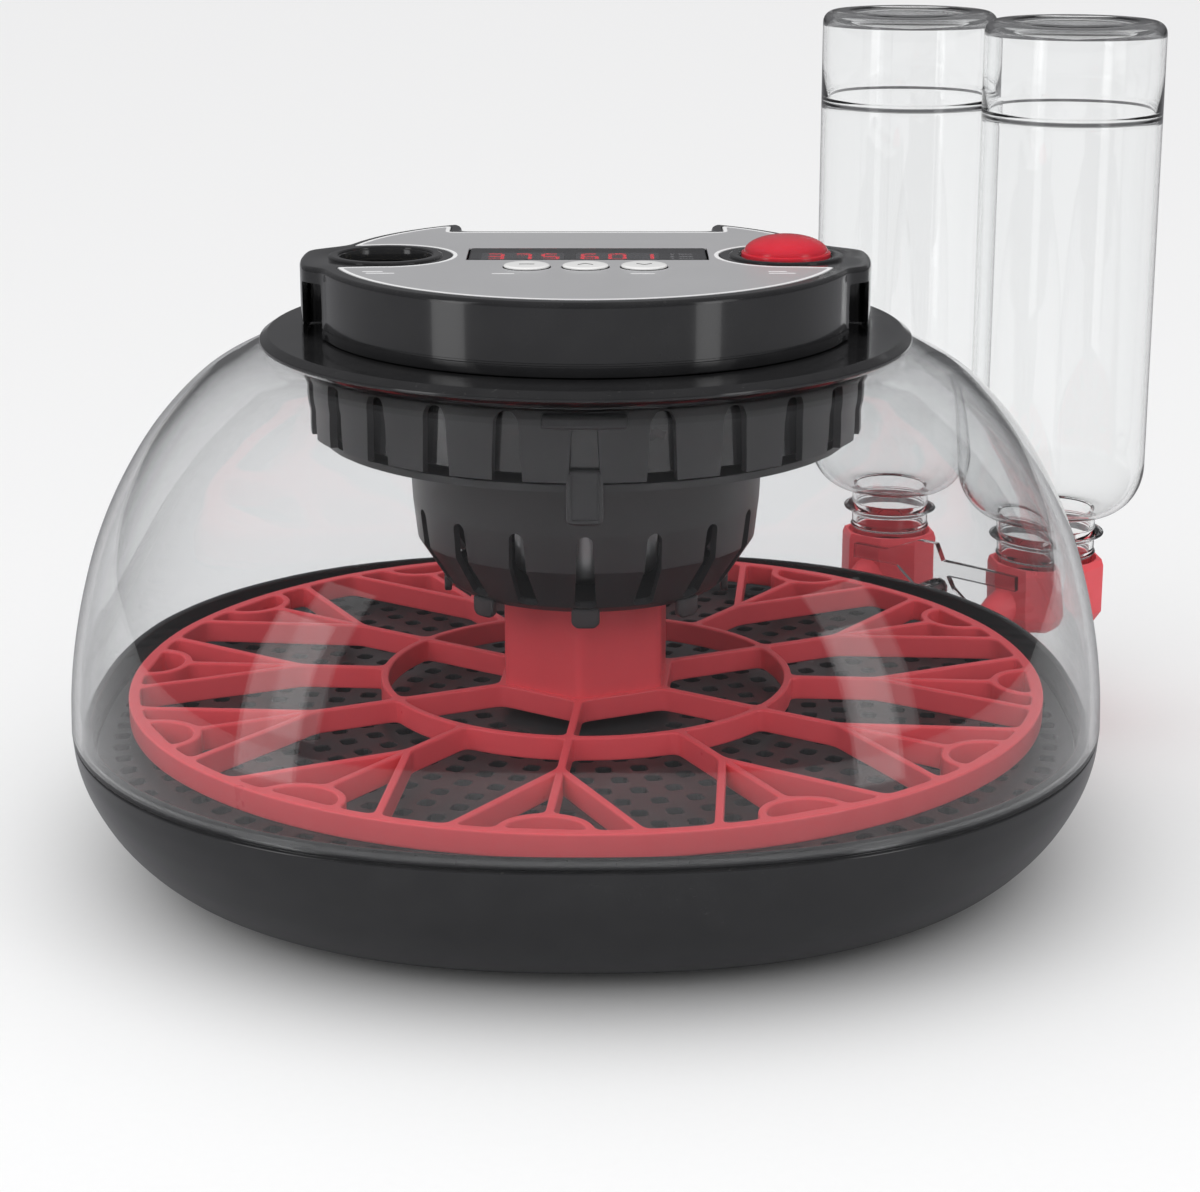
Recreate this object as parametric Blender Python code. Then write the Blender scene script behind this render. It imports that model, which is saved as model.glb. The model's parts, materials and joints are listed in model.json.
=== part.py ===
"""Egg incubator: a clear dome on a black base, a turning red egg carrier, a control head
that carries the fan and the drive, and two inverted water bottles at the rear right.

Lengths are in millimetres and MM turns them into Blender's metres when a mesh is made.
The origin is on the dome's axis at table level; +Z is up and the keys face -Y.
Angles named turn are in degrees, measured from the front (-Y) towards +X.
"""
import bmesh
import bpy
import numpy as np
from mathutils import Matrix, Vector
from mathutils.geometry import delaunay_2d_cdt

MM = 0.001
GAP = 0.3                      # clearance between pieces that rest on each other

# plan of base and dome: a slightly squared circle
PLAN_POWER = 2.3
PLAN_SIDES = 40

# base
SEAM_Z = 39.7
BASE_RADIUS = 132.2
FLOOR_Z = 5.5
UNDERSIDE_Z = 2.5
FOOT_RADIUS = 7.0
FOOT_RING = 78.0
REST_BOSS_RADIUS = 14.0
SPIGOT_RADIUS = 5.0
SPIGOT_TOP_Z = 40.0
BOSS_RADIUS = 9.0
BOSS_TOP_Z = 31.5
GRILLE_Z = (33.0, 35.0)
GRILLE_RADIUS = 126.6

# egg turner
TURNER_RADIUS = 119.5
TURNER_RING_WALL = 3.0
TURNER_Z = (38.3, 44.3)
TURNER_PHASE = -4.3
TURNER_UNITS = 12
RIB = 2.0
APEX_RADIUS = 76.0
INNER_RING = 53.0
HUB_RADIUS = 23.5
HUB_TOP_Z = 70.5
HUB_SOCKET_Z = 59.3            # floor of the drive socket
HUB_WALL = 2.2

# dome
DOME_WALL = 2.3
DOME_PROFILE = (
    (132.3, 40.0), (131.9, 50.0), (130.6, 61.0), (128.2, 73.0), (124.4, 86.0), (118.6, 99.0),
    (110.4, 112.0), (99.5, 123.5), (89.5, 129.6), (81.0, 132.4), (73.0, 133.0),
)

# control head
FLANGE_RADIUS = 82.7
FLANGE_Z = (133.3, 136.5)
COVER_Z = (136.8, 154.5)
COVER_UNDER_Z = 151.5
LABEL_RECESS = 0.6
FRONT_RADIUS = 68.0
EAR_RADIUS = 72.0
REAR_RADIUS = 64.3
NOTCH_HALF = 33.6
NOTCH_Y = 41.2
EYE_X = 50.6                   # candling eye at -x, lamp button at +x
EYE_RADIUS = 11.6
SURROUND_RADIUS = 17.0
WINDOW = (-29.5, -6.5, 30.5, 11.5)
KEY_X = (-14.5, 0.0, 14.5)
KEY_Y = -17.5
KEY_RADIUS = 5.7
BOARD_Z = (141.0, 142.6)
COVER_SCREWS = ((29.0, -53.0), (-29.0, -53.0), (44.0, 36.0), (-44.0, 36.0))
SCREW_SHANK_RADIUS = 1.5
SCREW_TOP_Z = 146.0
MOTOR_TOP_Z = 133.0            # fan motor, heater posts and probe end just under the flange
ROTOR_Z = (99.5, 108.5)
FAN_BLADES = 8
DRIVE_MOTOR_Z = (73.1, 95.3)
DRIVE_MOTOR_RADIUS = 18.5
DRIVE_SHAFT_RADIUS = 3.0
COUPLER_Z = (60.3, 71.9)       # tip and top of the hexagonal key
COUPLER_RADIUS = 6.0
HEATER_RADII = (47.5, 53.0)
HEATER_Z = (117.5, 121.5)
GRIP_TOP_Z = 150.6
BUTTON_Z = 155.6               # the red dome starts here
BUTTON_RISE = 4.4

# vent crown and fan guard, both hanging under the flange
CROWN_SLOTS = 24
CROWN_WALL = 2.0
GUARD_SLOTS = 16
GUARD_WALL = 1.8
GUARD_Z = (70.8, 109.0)

# bottles
BOTTLE_PLACES = ((95.0, 136.5), (138.0, 101.0))
BOTTLE_TOP_Z = 205.0
BOTTLE_RADIUS = 25.6
NECK_RADIUS = 12.2
SPOUT_START = (20.0, 33.0)     # distance in from the socket's axis, height
SPOUT_END = (42.0, 24.0)


# ---------------------------------------------------------------- helpers

def circle(radius, sides, x=0.0, y=0.0, turn=0.0):
    """Points round a circle, anticlockwise, starting at the front."""
    steps = np.radians(turn) + np.linspace(0.0, 2.0 * np.pi, sides, endpoint=False)
    return [(x + radius * np.sin(a), y - radius * np.cos(a)) for a in steps]


def arc(radius, start, end, count, x=0.0, y=0.0):
    """Points along an arc given by its two turn angles."""
    steps = np.radians(np.linspace(start, end, count))
    return [(x + radius * np.sin(a), y - radius * np.cos(a)) for a in steps]


def plan(radius, power=PLAN_POWER, sides=PLAN_SIDES):
    """Superellipse |x|^p + |y|^p = r^p, its points at even angles."""
    steps = np.linspace(0.0, 2.0 * np.pi, sides, endpoint=False)
    sine, cosine = np.sin(steps), -np.cos(steps)
    reach = radius / (np.abs(sine) ** power + np.abs(cosine) ** power) ** (1.0 / power)
    return list(zip(reach * sine, reach * cosine))


def rectangle(x0, y0, x1, y1):
    return [(x0, y0), (x1, y0), (x1, y1), (x0, y1)]


def offset(points, distance):
    """Move every edge of an anticlockwise outline outwards by distance, with mitred corners."""
    ring = np.array(points)
    ahead = np.roll(ring, -1, axis=0) - ring
    ahead /= np.linalg.norm(ahead, axis=1)[:, None]
    normal = np.stack([ahead[:, 1], -ahead[:, 0]], axis=1)
    before = np.roll(normal, 1, axis=0)
    mitre = normal + before
    mitre *= (distance / (1.0 + np.sum(normal * before, axis=1)))[:, None]
    return [tuple(p) for p in ring + mitre]


def is_inside(point, outline):
    """Even-odd test of a point against a closed outline."""
    x, y = point
    ring = np.array(outline)
    other = np.roll(ring, -1, axis=0)
    spans = (ring[:, 1] > y) != (other[:, 1] > y)
    rise = np.where(other[:, 1] == ring[:, 1], 1.0, other[:, 1] - ring[:, 1])
    cross = ring[:, 0] + (y - ring[:, 1]) * (other[:, 0] - ring[:, 0]) / rise
    return np.count_nonzero(spans & (cross > x)) % 2 == 1


class Solid:
    """A closed mesh put together from level loops, bands between them and flat caps."""

    def __init__(self):
        self.points = []
        self.faces = []

    def loop(self, outline, z):
        """Add an outline at height z and return its point numbers."""
        first = len(self.points)
        self.points += [(x, y, z) for x, y in outline]
        return list(range(first, len(self.points)))

    def band(self, lower, upper):
        """Join two loops that have the same number of points."""
        count = len(lower)
        for i in range(count):
            j = (i + 1) % count
            self.faces.append((lower[i], lower[j], upper[j], upper[i]))

    def stack(self, levels):
        """Loops for (outline, z) pairs, joined by bands; returns the first and last loop."""
        loops = [self.loop(outline, z) for outline, z in levels]
        for lower, upper in zip(loops, loops[1:]):
            self.band(lower, upper)
        return loops[0], loops[-1]

    def cap(self, outer, holes=()):
        """Fill the level area inside a loop and outside the hole loops with triangles."""
        loops = [outer, *holes]
        numbers = [n for ring in loops for n in ring]
        flat = [Vector(self.points[n][:2]) for n in numbers]
        edges = []
        for ring in loops:
            first = len(edges)
            edges += [(first + i, first + (i + 1) % len(ring)) for i in range(len(ring))]
        found = delaunay_2d_cdt(flat, edges, [], 0, 1e-5)
        corners, triangles, sources = found[0], found[2], found[3]
        border = [self.points[n][:2] for n in outer]
        gaps = [[self.points[n][:2] for n in ring] for ring in holes]
        for triangle in triangles:
            middle = sum((corners[i] for i in triangle), Vector((0.0, 0.0))) / 3.0
            if is_inside(middle, border) and not any(is_inside(middle, gap) for gap in gaps):
                self.faces.append(tuple(numbers[sources[i][0]] for i in triangle))

    def make(self, name, material, place=(0.0, 0.0, 0.0), turned=None, smooth=30.0):
        """Turn the points and faces into an object standing at place (millimetres)."""
        middle = Vector(place)
        mesh = bpy.data.meshes.new(name)
        at = [tuple((Vector(p) - (middle if turned is None else Vector())) * MM)
              for p in self.points]
        mesh.from_pydata(at, [], self.faces)
        work = bmesh.new()
        work.from_mesh(mesh)
        bmesh.ops.recalc_face_normals(work, faces=work.faces)
        work.to_mesh(mesh)
        work.free()
        mesh.shade_smooth()
        mesh.set_sharp_from_angle(angle=np.radians(smooth))
        mesh.materials.append(material)
        piece = bpy.data.objects.new(name, mesh)
        piece.location = middle * MM
        if turned is not None:
            piece.rotation_euler = turned.to_euler()
        bpy.context.collection.objects.link(piece)
        return piece


def disc_stack(levels, sides=24, x=0.0, y=0.0, turn=0.0):
    """A turned solid from (radius, z) pairs going up its outside, closed at both ends."""
    solid = Solid()
    bottom, top = solid.stack([(circle(r, sides, x, y, turn), z) for r, z in levels])
    solid.cap(bottom)
    solid.cap(top)
    return solid


def tube_stack(levels, sides=24, x=0.0, y=0.0, turn=0.0):
    """A turned solid from a closed ring of (radius, z) pairs that stays off the axis."""
    solid = Solid()
    first, last = solid.stack([(circle(r, sides, x, y, turn), z) for r, z in levels])
    solid.band(last, first)
    return solid


def prism(outline, z0, z1, holes=()):
    """An outline with holes, raised from z0 to z1."""
    solid = Solid()
    bottom, top = solid.stack([(outline, z0), (outline, z1)])
    low_holes, high_holes = [], []
    for hole in holes:
        low, high = solid.stack([(hole, z0), (hole, z1)])
        low_holes.append(low)
        high_holes.append(high)
    solid.cap(bottom, low_holes)
    solid.cap(top, high_holes)
    return solid


def slotted_wall(outer, inner, edges, keep):
    """A wall of revolution with some cells left out.

    outer and inner list (radius, z) row by row; edges(row) gives the column edges as turn
    angles; keep(column, row) says whether the cell above that row is solid.
    """
    rows, columns = len(outer), len(edges(0))
    turns = np.radians(np.array([edges(row) for row in range(rows)]))
    solid = Solid()
    number = {}

    def corner(side, column, row):
        column %= columns
        key = (side, column, row)
        if key not in number:
            radius, z = (outer, inner)[side][row]
            angle = turns[row][column]
            number[key] = len(solid.points)
            solid.points.append((radius * np.sin(angle), -radius * np.cos(angle), z))
        return number[key]

    def kept(column, row):
        return 0 <= row < rows - 1 and keep(column % columns, row)

    for row in range(rows - 1):
        for column in range(columns):
            if not kept(column, row):
                continue
            ends = ((column, row), (column + 1, row), (column + 1, row + 1), (column, row + 1))
            beyond = ((column, row - 1), (column + 1, row), (column, row + 1), (column - 1, row))
            solid.faces.append(tuple(corner(0, *end) for end in ends))
            solid.faces.append(tuple(corner(1, *end) for end in reversed(ends)))
            for i, neighbour in enumerate(beyond):
                if not kept(*neighbour):
                    a, b = ends[i], ends[(i + 1) % 4]
                    wall = (corner(0, *b), corner(0, *a), corner(1, *a), corner(1, *b))
                    solid.faces.append(wall)
    return solid


def inner_profile(profile, wall):
    """The (radius, z) profile moved inwards (towards the axis and up) by a wall thickness."""
    line = np.array(profile)
    ahead = np.gradient(line, axis=0)
    ahead /= np.linalg.norm(ahead, axis=1)[:, None]
    side = np.stack([-ahead[:, 1], ahead[:, 0]], axis=1)
    return [tuple(p) for p in line + wall * side]


def cutter(solid, name, target, operation="DIFFERENCE", **placing):
    """Use a solid as a Boolean tool on target, hidden from view."""
    tool = solid.make(name, target.data.materials[0], **placing)
    tool.hide_render = True
    tool.display_type = "WIRE"
    boolean = target.modifiers.new(name, "BOOLEAN")
    boolean.operation = operation
    boolean.solver = "EXACT"
    boolean.object = tool


def principled(name, colour, roughness, metallic=0.0, transmission=0.0, emission=0.0):
    material = bpy.data.materials.new(name)
    material.use_nodes = True
    shader = material.node_tree.nodes["Principled BSDF"]
    shader.inputs["Base Color"].default_value = (*colour, 1.0)
    shader.inputs["Roughness"].default_value = roughness
    shader.inputs["Metallic"].default_value = metallic
    shader.inputs["Transmission Weight"].default_value = transmission
    shader.inputs["Emission Color"].default_value = (*colour, 1.0)
    shader.inputs["Emission Strength"].default_value = emission
    material.diffuse_color = (*colour, 1.0)
    return material


def aim(start, end):
    """Rotation that takes +Z onto the line from start to end."""
    return (Vector(end) - Vector(start)).to_track_quat("Z", "Y").to_matrix().to_4x4()


# ---------------------------------------------------------------- base

def base_shell(material):
    """Bowl with a dome shelf, a grille ledge, one water ring and the turner's spigot."""
    solid = Solid()
    outside = ((92.0, UNDERSIDE_Z), (104.0, 4.2), (112.5, 7.6), (119.0, 12.5), (125.0, 19.5),
               (129.4, 27.5), (131.5, 34.0), (BASE_RADIUS, SEAM_Z))
    rim = ((129.6, SEAM_Z), (129.5, 42.2), (127.5, 42.2), (127.2, 32.7), (123.0, 32.7))
    inside = ((122.6, 27.0), (120.8, 19.5), (115.5, 13.0), (108.0, 8.5), (99.0, FLOOR_Z))
    levels = [(plan(r), z) for r, z in outside + rim + inside]
    underside, floor = solid.stack(levels)
    sides = 24
    rest = REST_BOSS_RADIUS
    boss_low, boss_high = solid.stack([(circle(rest, sides), 0.0), (circle(rest, sides), UNDERSIDE_Z)])
    solid.cap(boss_low)
    solid.cap(underside, [boss_high])
    ring = ((84.0, FLOOR_Z), (83.6, 16.0), (81.6, 16.0), (81.2, FLOOR_Z))
    ring_out, ring_in = solid.stack([(circle(r, 36), z) for r, z in ring])
    solid.cap(floor, [ring_out])
    post = ((BOSS_RADIUS + 1.0, FLOOR_Z), (BOSS_RADIUS, BOSS_TOP_Z), (SPIGOT_RADIUS, BOSS_TOP_Z),
            (SPIGOT_RADIUS, SPIGOT_TOP_Z - 1.0), (SPIGOT_RADIUS - 1.0, SPIGOT_TOP_Z))
    foot, tip = solid.stack([(circle(r, sides), z) for r, z in post])
    solid.cap(ring_in, [foot])
    solid.cap(tip)
    shell = solid.make("base_shell", material)
    for i, place in enumerate(BOTTLE_PLACES, start=1):
        start, end = spout_points(place)
        port = disc_stack(((4.7, 2.0), (4.7, 34.0)), 16)
        cutter(port, f"port_cutter_{i}", shell, place=start, turned=aim(start, end))
    for i, (along, z) in enumerate(BRACKET_BOSSES, start=1):
        hole = disc_stack(((1.8, -12.0), (1.8, 12.0)), 12)
        cutter(hole, f"bracket_hole_cutter_{i}", shell, place=bracket_point(along, 134.0, z),
               turned=aim((0, 0, 0), BRACKET_NORMAL))
    return shell


def feet(material):
    """Four rubber pads under the bowl."""
    names = ("foot_front_right", "foot_rear_right", "foot_rear_left", "foot_front_left")
    for name, turn in zip(names, (45.0, 135.0, 225.0, 315.0)):
        x, y = arc(FOOT_RING, turn, turn, 1)[0]
        pad = disc_stack(((FOOT_RADIUS - 0.8, 0.0), (FOOT_RADIUS, 0.8), (FOOT_RADIUS, 2.2)), 16, x, y)
        pad.make(name, material, place=(x, y, 0.0))


def floor_grille(material):
    """Perforated floor under the eggs: rows of slots, with a hole round the turner's hub."""
    slots = []
    for radius, count, length in ((122.0, 36, 7.0), (111.0, 32, 7.0)):
        half = np.degrees(length / 2.0 / radius)
        for i in range(count):
            turn = (i + 0.5) * 360.0 / count
            inner = arc(radius - 2.2, turn - half, turn + half, 2)
            outer = arc(radius + 2.2, turn + half, turn - half, 2)
            slots.append(inner + outer)
    holes = [circle(11.6, 24)] + slots
    prism(plan(GRILLE_RADIUS), *GRILLE_Z, holes).make("floor_grille", material)


# ---------------------------------------------------------------- egg turner

def turner_cells():
    """Openings of the turner: egg cells, the gaps inside each V, its loop, and the hub cells."""
    def at(radius, turn):
        return arc(radius, turn, turn, 1)[0]

    rim = TURNER_RADIUS - TURNER_RING_WALL + RIB / 2.0
    leg, loop_half, loop_depth = 10.8, 5.1, 10.5
    pitch = 360.0 / TURNER_UNITS
    width = rim * np.radians(loop_half)
    cells = []
    for unit in range(TURNER_UNITS):
        turn = TURNER_PHASE + unit * pitch
        apex, following = at(APEX_RADIUS, turn), at(APEX_RADIUS, turn + pitch)
        egg = arc(INNER_RING, turn, turn + pitch, 5) + [following]
        egg += arc(rim, turn + pitch - leg, turn + leg, 4) + [apex]
        swing = np.radians(np.linspace(0.0, 180.0, 9))
        loop = []
        for angle in swing:
            radius = rim - loop_depth * np.sin(angle)
            side = np.degrees(width * np.cos(angle) / radius)
            loop.append(at(radius, turn - side))
        right = [apex] + loop[8:3:-1][::-1] + arc(rim, turn + loop_half, turn + leg, 2)[1:]
        left = [apex] + arc(rim, turn - leg, turn - loop_half, 2)[:1] + loop[0:5]
        cells += [egg, left, right, loop]
    for spoke in range(6):
        turn = TURNER_PHASE + spoke * 60.0
        low = [at(HUB_RADIUS + 0.6, turn + 60.0), at(HUB_RADIUS + 0.6, turn)]
        cells.append(arc(INNER_RING, turn, turn + 60.0, 7) + low)
    return [inset(cell, RIB / 2.0) for cell in cells]


def inset(outline, distance):
    """Outline shrunk by distance, made anticlockwise first."""
    ring = np.array(outline)
    other = np.roll(ring, -1, axis=0)
    area = np.sum(ring[:, 0] * other[:, 1] - other[:, 0] * ring[:, 1])
    if area < 0.0:
        outline = outline[::-1]
    return offset(outline, -distance)


def turner_disc(material):
    """Ring, ribs and hexagonal hub in one moulding, with the drive socket in its top."""
    solid = Solid()
    low_z, high_z = TURNER_Z
    rim = circle(TURNER_RADIUS, 60)
    rim_low, rim_high = solid.stack([(rim, low_z), (rim, high_z)])
    low_cells, high_cells = [], []
    for cell in turner_cells():
        low, high = solid.stack([(cell, low_z), (cell, high_z)])
        low_cells.append(low)
        high_cells.append(high)

    def hexagon(radius):
        return circle(radius, 6, turn=TURNER_PHASE)

    tower = [(hexagon(HUB_RADIUS), high_z), (hexagon(HUB_RADIUS), HUB_TOP_Z - 1.0),
             (hexagon(HUB_RADIUS - 1.0), HUB_TOP_Z)]
    foot, top = solid.stack(tower)
    solid.cap(rim_high, high_cells + [foot])
    socket_top, socket_floor = solid.stack([(hexagon(6.3), HUB_TOP_Z), (hexagon(6.3), HUB_SOCKET_Z)])
    solid.cap(top, [socket_top])
    solid.cap(socket_floor)
    hollow, hollow_z = hexagon(HUB_RADIUS - HUB_WALL), HUB_SOCKET_Z - HUB_WALL
    hollow_low, hollow_top = solid.stack([(hollow, low_z), (hollow, hollow_z)])
    solid.cap(rim_low, low_cells + [hollow_low])
    collar = [(circle(10.5, 24), hollow_z), (circle(10.5, 24), BOSS_TOP_Z + GAP)]
    collar_top, collar_low = solid.stack(collar)
    solid.cap(hollow_top, [collar_top])
    bore = circle(SPIGOT_RADIUS + GAP, 24)
    bore_low, bore_top = solid.stack([(bore, BOSS_TOP_Z + GAP), (bore, 42.0)])
    solid.cap(collar_low, [bore_low])
    solid.cap(bore_top)
    solid.make("turner_disc", material)


# ---------------------------------------------------------------- dome

def dome_shell(material):
    """Clear cover: squared plan at the seam, round at its top opening."""
    def levels(profile):
        low, high = profile[0][1], profile[-1][1]
        steps = []
        for radius, z in profile:
            rise = (z - low) / (high - low)
            steps.append((plan(radius, PLAN_POWER - (PLAN_POWER - 2.0) * rise ** 2), z))
        return steps

    outside = list(DOME_PROFILE)
    inside = inner_profile(outside, DOME_WALL)
    inside[0] = (inside[0][0], outside[0][1])
    inside[-1] = (outside[-1][0], outside[-1][1] - DOME_WALL)
    inside = [(r, z) for r, z in inside if r >= 73.0]
    solid = Solid()
    foot, top = solid.stack(levels(outside))
    inner_foot, inner_top = solid.stack(levels(inside))
    solid.band(foot, inner_foot)
    solid.band(top, inner_top)
    solid.make("dome_shell", material)


# ---------------------------------------------------------------- control head

def mirrored(right_side):
    """A closed outline from its right half, given from front to rear."""
    return right_side + [(-x, y) for x, y in reversed(right_side) if abs(x) > 1e-6]


def cover_outline():
    """Front arc, side ears, narrower rear arcs and the flat notch behind the label."""
    return mirrored(
        arc(FRONT_RADIUS, 0.0, 73.0, 11) + arc(EAR_RADIUS, 76.5, 98.0, 4)
        + arc(REAR_RADIUS, 106.0, 147.0, 6)
        + [(NOTCH_HALF, 51.5), (NOTCH_HALF, NOTCH_Y)])


def cover_cavity():
    """Inside of the cover's wall."""
    return mirrored(
        arc(65.5, 0.0, 66.0, 9) + [(63.0, -14.0), (63.0, 9.0)]
        + arc(61.5, 102.0, 144.0, 6) + [(36.0, 38.9)])


def label_outline():
    """Label sheet: round front, going inside both surrounds, lobed rear and a flat rear edge."""
    side = arc(64.0, 0.0, 73.5, 11)
    side += arc(SURROUND_RADIUS, 5.0, -190.0, 13, EYE_X)
    side += arc(61.8, 104.5, 142.0, 6)
    side += [(36.4, 48.6), (36.4, 38.9)]
    return mirrored(side)


def head_cover(material):
    """Top shell of the head with a label recess, screw bosses and side grip pockets."""
    solid = Solid()
    low_z, high_z = COVER_Z
    outline, cavity = cover_outline(), cover_cavity()
    recess = offset(label_outline(), 0.25)
    recess_z = high_z - LABEL_RECESS
    wall_low, top_edge = solid.stack([(outline, low_z), (outline, high_z - 1.4),
                                      (offset(outline, -0.4), high_z - 0.4),
                                      (offset(outline, -1.4), high_z)])
    recess_top, recess_floor = solid.stack([(recess, high_z), (recess, recess_z)])
    eyes = [circle(EYE_RADIUS, 24, side * EYE_X) for side in (-1.0, 1.0)]
    openings = [offset(rectangle(*WINDOW), 0.5)] + [circle(3.9, 12, x, KEY_Y) for x in KEY_X]
    cavity_low, cavity_top = solid.stack([(cavity, low_z), (cavity, COVER_UNDER_Z)])
    solid.cap(wall_low, [cavity_low])
    eye_tops, unders = [], []
    for eye in eyes:
        under, top = solid.stack([(eye, COVER_UNDER_Z), (eye, high_z)])
        eye_tops.append(top)
        unders.append(under)
    opening_tops = []
    for opening in openings:
        under, top = solid.stack([(opening, COVER_UNDER_Z), (opening, recess_z)])
        opening_tops.append(top)
        unders.append(under)
    for x, y in COVER_SCREWS:
        post_top, post_low = solid.stack([(circle(3.5, 12, x, y), COVER_UNDER_Z),
                                          (circle(3.5, 12, x, y), low_z + 0.4)])
        hole_low, hole_top = solid.stack([(circle(1.7, 12, x, y), low_z + 0.4),
                                          (circle(1.7, 12, x, y), 147.0)])
        solid.cap(post_low, [hole_low])
        solid.cap(hole_top)
        unders.append(post_top)
    solid.cap(top_edge, eye_tops + [recess_top])
    solid.cap(recess_floor, opening_tops)
    solid.cap(cavity_top, unders)
    cover = solid.make("head_cover", material)
    for name, side in (("right", 1.0), ("left", -1.0)):
        pocket = rectangle(*sorted_box(side * 65.2, side * 70.4, -30.0, 4.0))
        cutter(prism(pocket, low_z - 3.0, GRIP_TOP_Z), f"grip_cutter_{name}", cover)
    inlet = prism(rectangle(-8.3, NOTCH_Y - 5.0, 8.3, NOTCH_Y + 3.0), 139.7, 149.3)
    cutter(inlet, "inlet_cutter", cover)


def sorted_box(xa, xb, ya, yb):
    return min(xa, xb), min(ya, yb), max(xa, xb), max(ya, yb)


def head_flange(material):
    """Plate that closes the head from below and rests on the dome's rim."""
    solid = Solid()
    low_z, high_z = FLANGE_Z
    rim = ((81.5, low_z), (FLANGE_RADIUS, low_z + 1.0), (FLANGE_RADIUS, high_z - 1.4), (80.6, high_z))
    low, high = solid.stack([(circle(r, 72), z) for r, z in rim])
    low_holes, high_holes = [], []
    for x, y in COVER_SCREWS:
        under, top = solid.stack([(circle(1.9, 12, x, y), low_z), (circle(1.9, 12, x, y), high_z)])
        low_holes.append(under)
        high_holes.append(top)
    for x in (-56.0, 56.0):
        for y in (-21.0, 18.0):
            post = circle(2.5, 10, x, y)
            foot, tip = solid.stack([(post, high_z), (post, BOARD_Z[0] - GAP)])
            high_holes.append(foot)
            solid.cap(tip)
    solid.cap(low, low_holes)
    solid.cap(high, high_holes)
    solid.make("head_flange", material)


def vent_crown(material):
    """Ring of hanging fingers round the fan, with a latch window and tongue at the front."""
    heights = (102.0, 104.0, 112.2, 114.5, 125.0, 129.0, 133.0)
    outer = [(69.6 + 0.035 * (z - heights[0]), z) for z in heights]
    inner = [(r - CROWN_WALL, z) for r, z in outer]
    half_widths = (2.4, 3.4, 3.4, 3.0, 2.6, 2.3, 2.3)
    pitch = 360.0 / CROWN_SLOTS

    def edges(row):
        half = np.degrees(half_widths[row] / 70.0) * (1.2 if row >= 2 else 1.0)
        return [slot * pitch + side * half for slot in range(CROWN_SLOTS) for side in (-1.0, 1.0)]

    def keep(column, row):
        in_slot, at_front = column % 2 == 0, column == 0
        if row < 2:
            return at_front
        if row == 3:
            return not in_slot
        if row in (2, 4):
            return not in_slot or at_front
        return True

    slotted_wall(outer, inner, edges, keep).make("vent_crown", material)


def fan_guard(material):
    """Round basket under the fan, with a top flange, narrow slots and an open throat."""
    low, wall = GUARD_Z[0], GUARD_WALL
    high = GUARD_Z[1]
    outer = [(8.5, low), (34.8, low), (36.8, low + 1.6), (43.5, 83.0), (44.6, 92.7),
             (45.4, high), (66.0, high)]
    inner = [(8.5, low + wall), (33.8, low + wall), (35.4, low + 2.9), (41.7, 83.4), (42.8, 92.7),
             (43.4, high + wall), (66.0, high + wall)]
    pitch = 360.0 / GUARD_SLOTS
    half_widths = (4.2, 4.2, 4.2, 3.2, 2.4, 2.4, 2.4)

    def edges(row):
        turns = []
        for slot in range(GUARD_SLOTS):
            turns += [slot * pitch - half_widths[row], slot * pitch + half_widths[row]]
        return turns

    def keep(column, row):
        return column % 2 == 1 or row not in (2, 3)

    slotted_wall(outer, inner, edges, keep).make("fan_guard", material)


def control_label(material):
    openings = [offset(rectangle(*WINDOW), 0.5)]
    openings += [circle(KEY_RADIUS + GAP, 24, x, KEY_Y) for x in KEY_X]
    low = COVER_Z[1] - LABEL_RECESS + 0.15
    prism(label_outline(), low, low + 0.5, openings).make("control_label", material)


def keys_and_window(white, glass):
    """Three round keys on stems, and the pane over the display."""
    x0, y0, x1, y1 = WINDOW
    pane = rectangle(x0 + 0.1, y0 + 0.1, x1 - 0.1, y1 - 0.1)
    prism(pane, COVER_UNDER_Z + 0.3, COVER_Z[1] + 0.1).make("display_window", glass)
    face = COVER_Z[1] + 0.1
    for name, x in zip(("key_set", "key_up", "key_down"), KEY_X):
        levels = ((3.5, 149.6), (3.5, face), (KEY_RADIUS, face), (KEY_RADIUS, face + 0.5),
                  (KEY_RADIUS - 0.3, face + 0.7))
        key = disc_stack(levels, 24, x, KEY_Y)
        key.make(name, white, place=(x, KEY_Y, face))


def lamp_button(material):
    """Sprung red dome with a skirt held under the cover."""
    radius = EYE_RADIUS - GAP
    swing = np.radians((0, 18, 36, 54, 72))
    dome = [(radius * 0.94 * np.cos(a), BUTTON_Z + BUTTON_RISE * np.sin(a)) for a in swing]
    levels = [(12.1, 149.0), (12.1, 151.1), (radius, 151.1), (radius, BUTTON_Z)] + dome
    disc_stack(levels, 24, EYE_X).make("lamp_button", material, place=(EYE_X, 0.0, 151.1), smooth=40.0)


def candling_eye(black, glass, lamp):
    """Tube, lens and lamp under the hole that an egg is held over."""
    x = -EYE_X
    tube = ((12.1, 143.0), (12.1, 151.2), (11.3, 151.2), (11.3, 147.4), (8.0, 147.4), (8.0, 143.0))
    tube_stack(tube, 24, x).make("candling_tube", black, place=(x, 0.0, 143.0))
    lens = ((10.9, 147.7), (10.9, 149.4), (7.0, 150.6))
    disc_stack(lens, 24, x).make("candling_lens", glass, place=(x, 0.0, 147.7))
    disc_stack(((5.0, 142.9), (5.0, 144.2), (3.4, 146.4)), 16, x).make("candling_lamp", lamp,
                                                                    place=(x, 0.0, 142.9))


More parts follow.
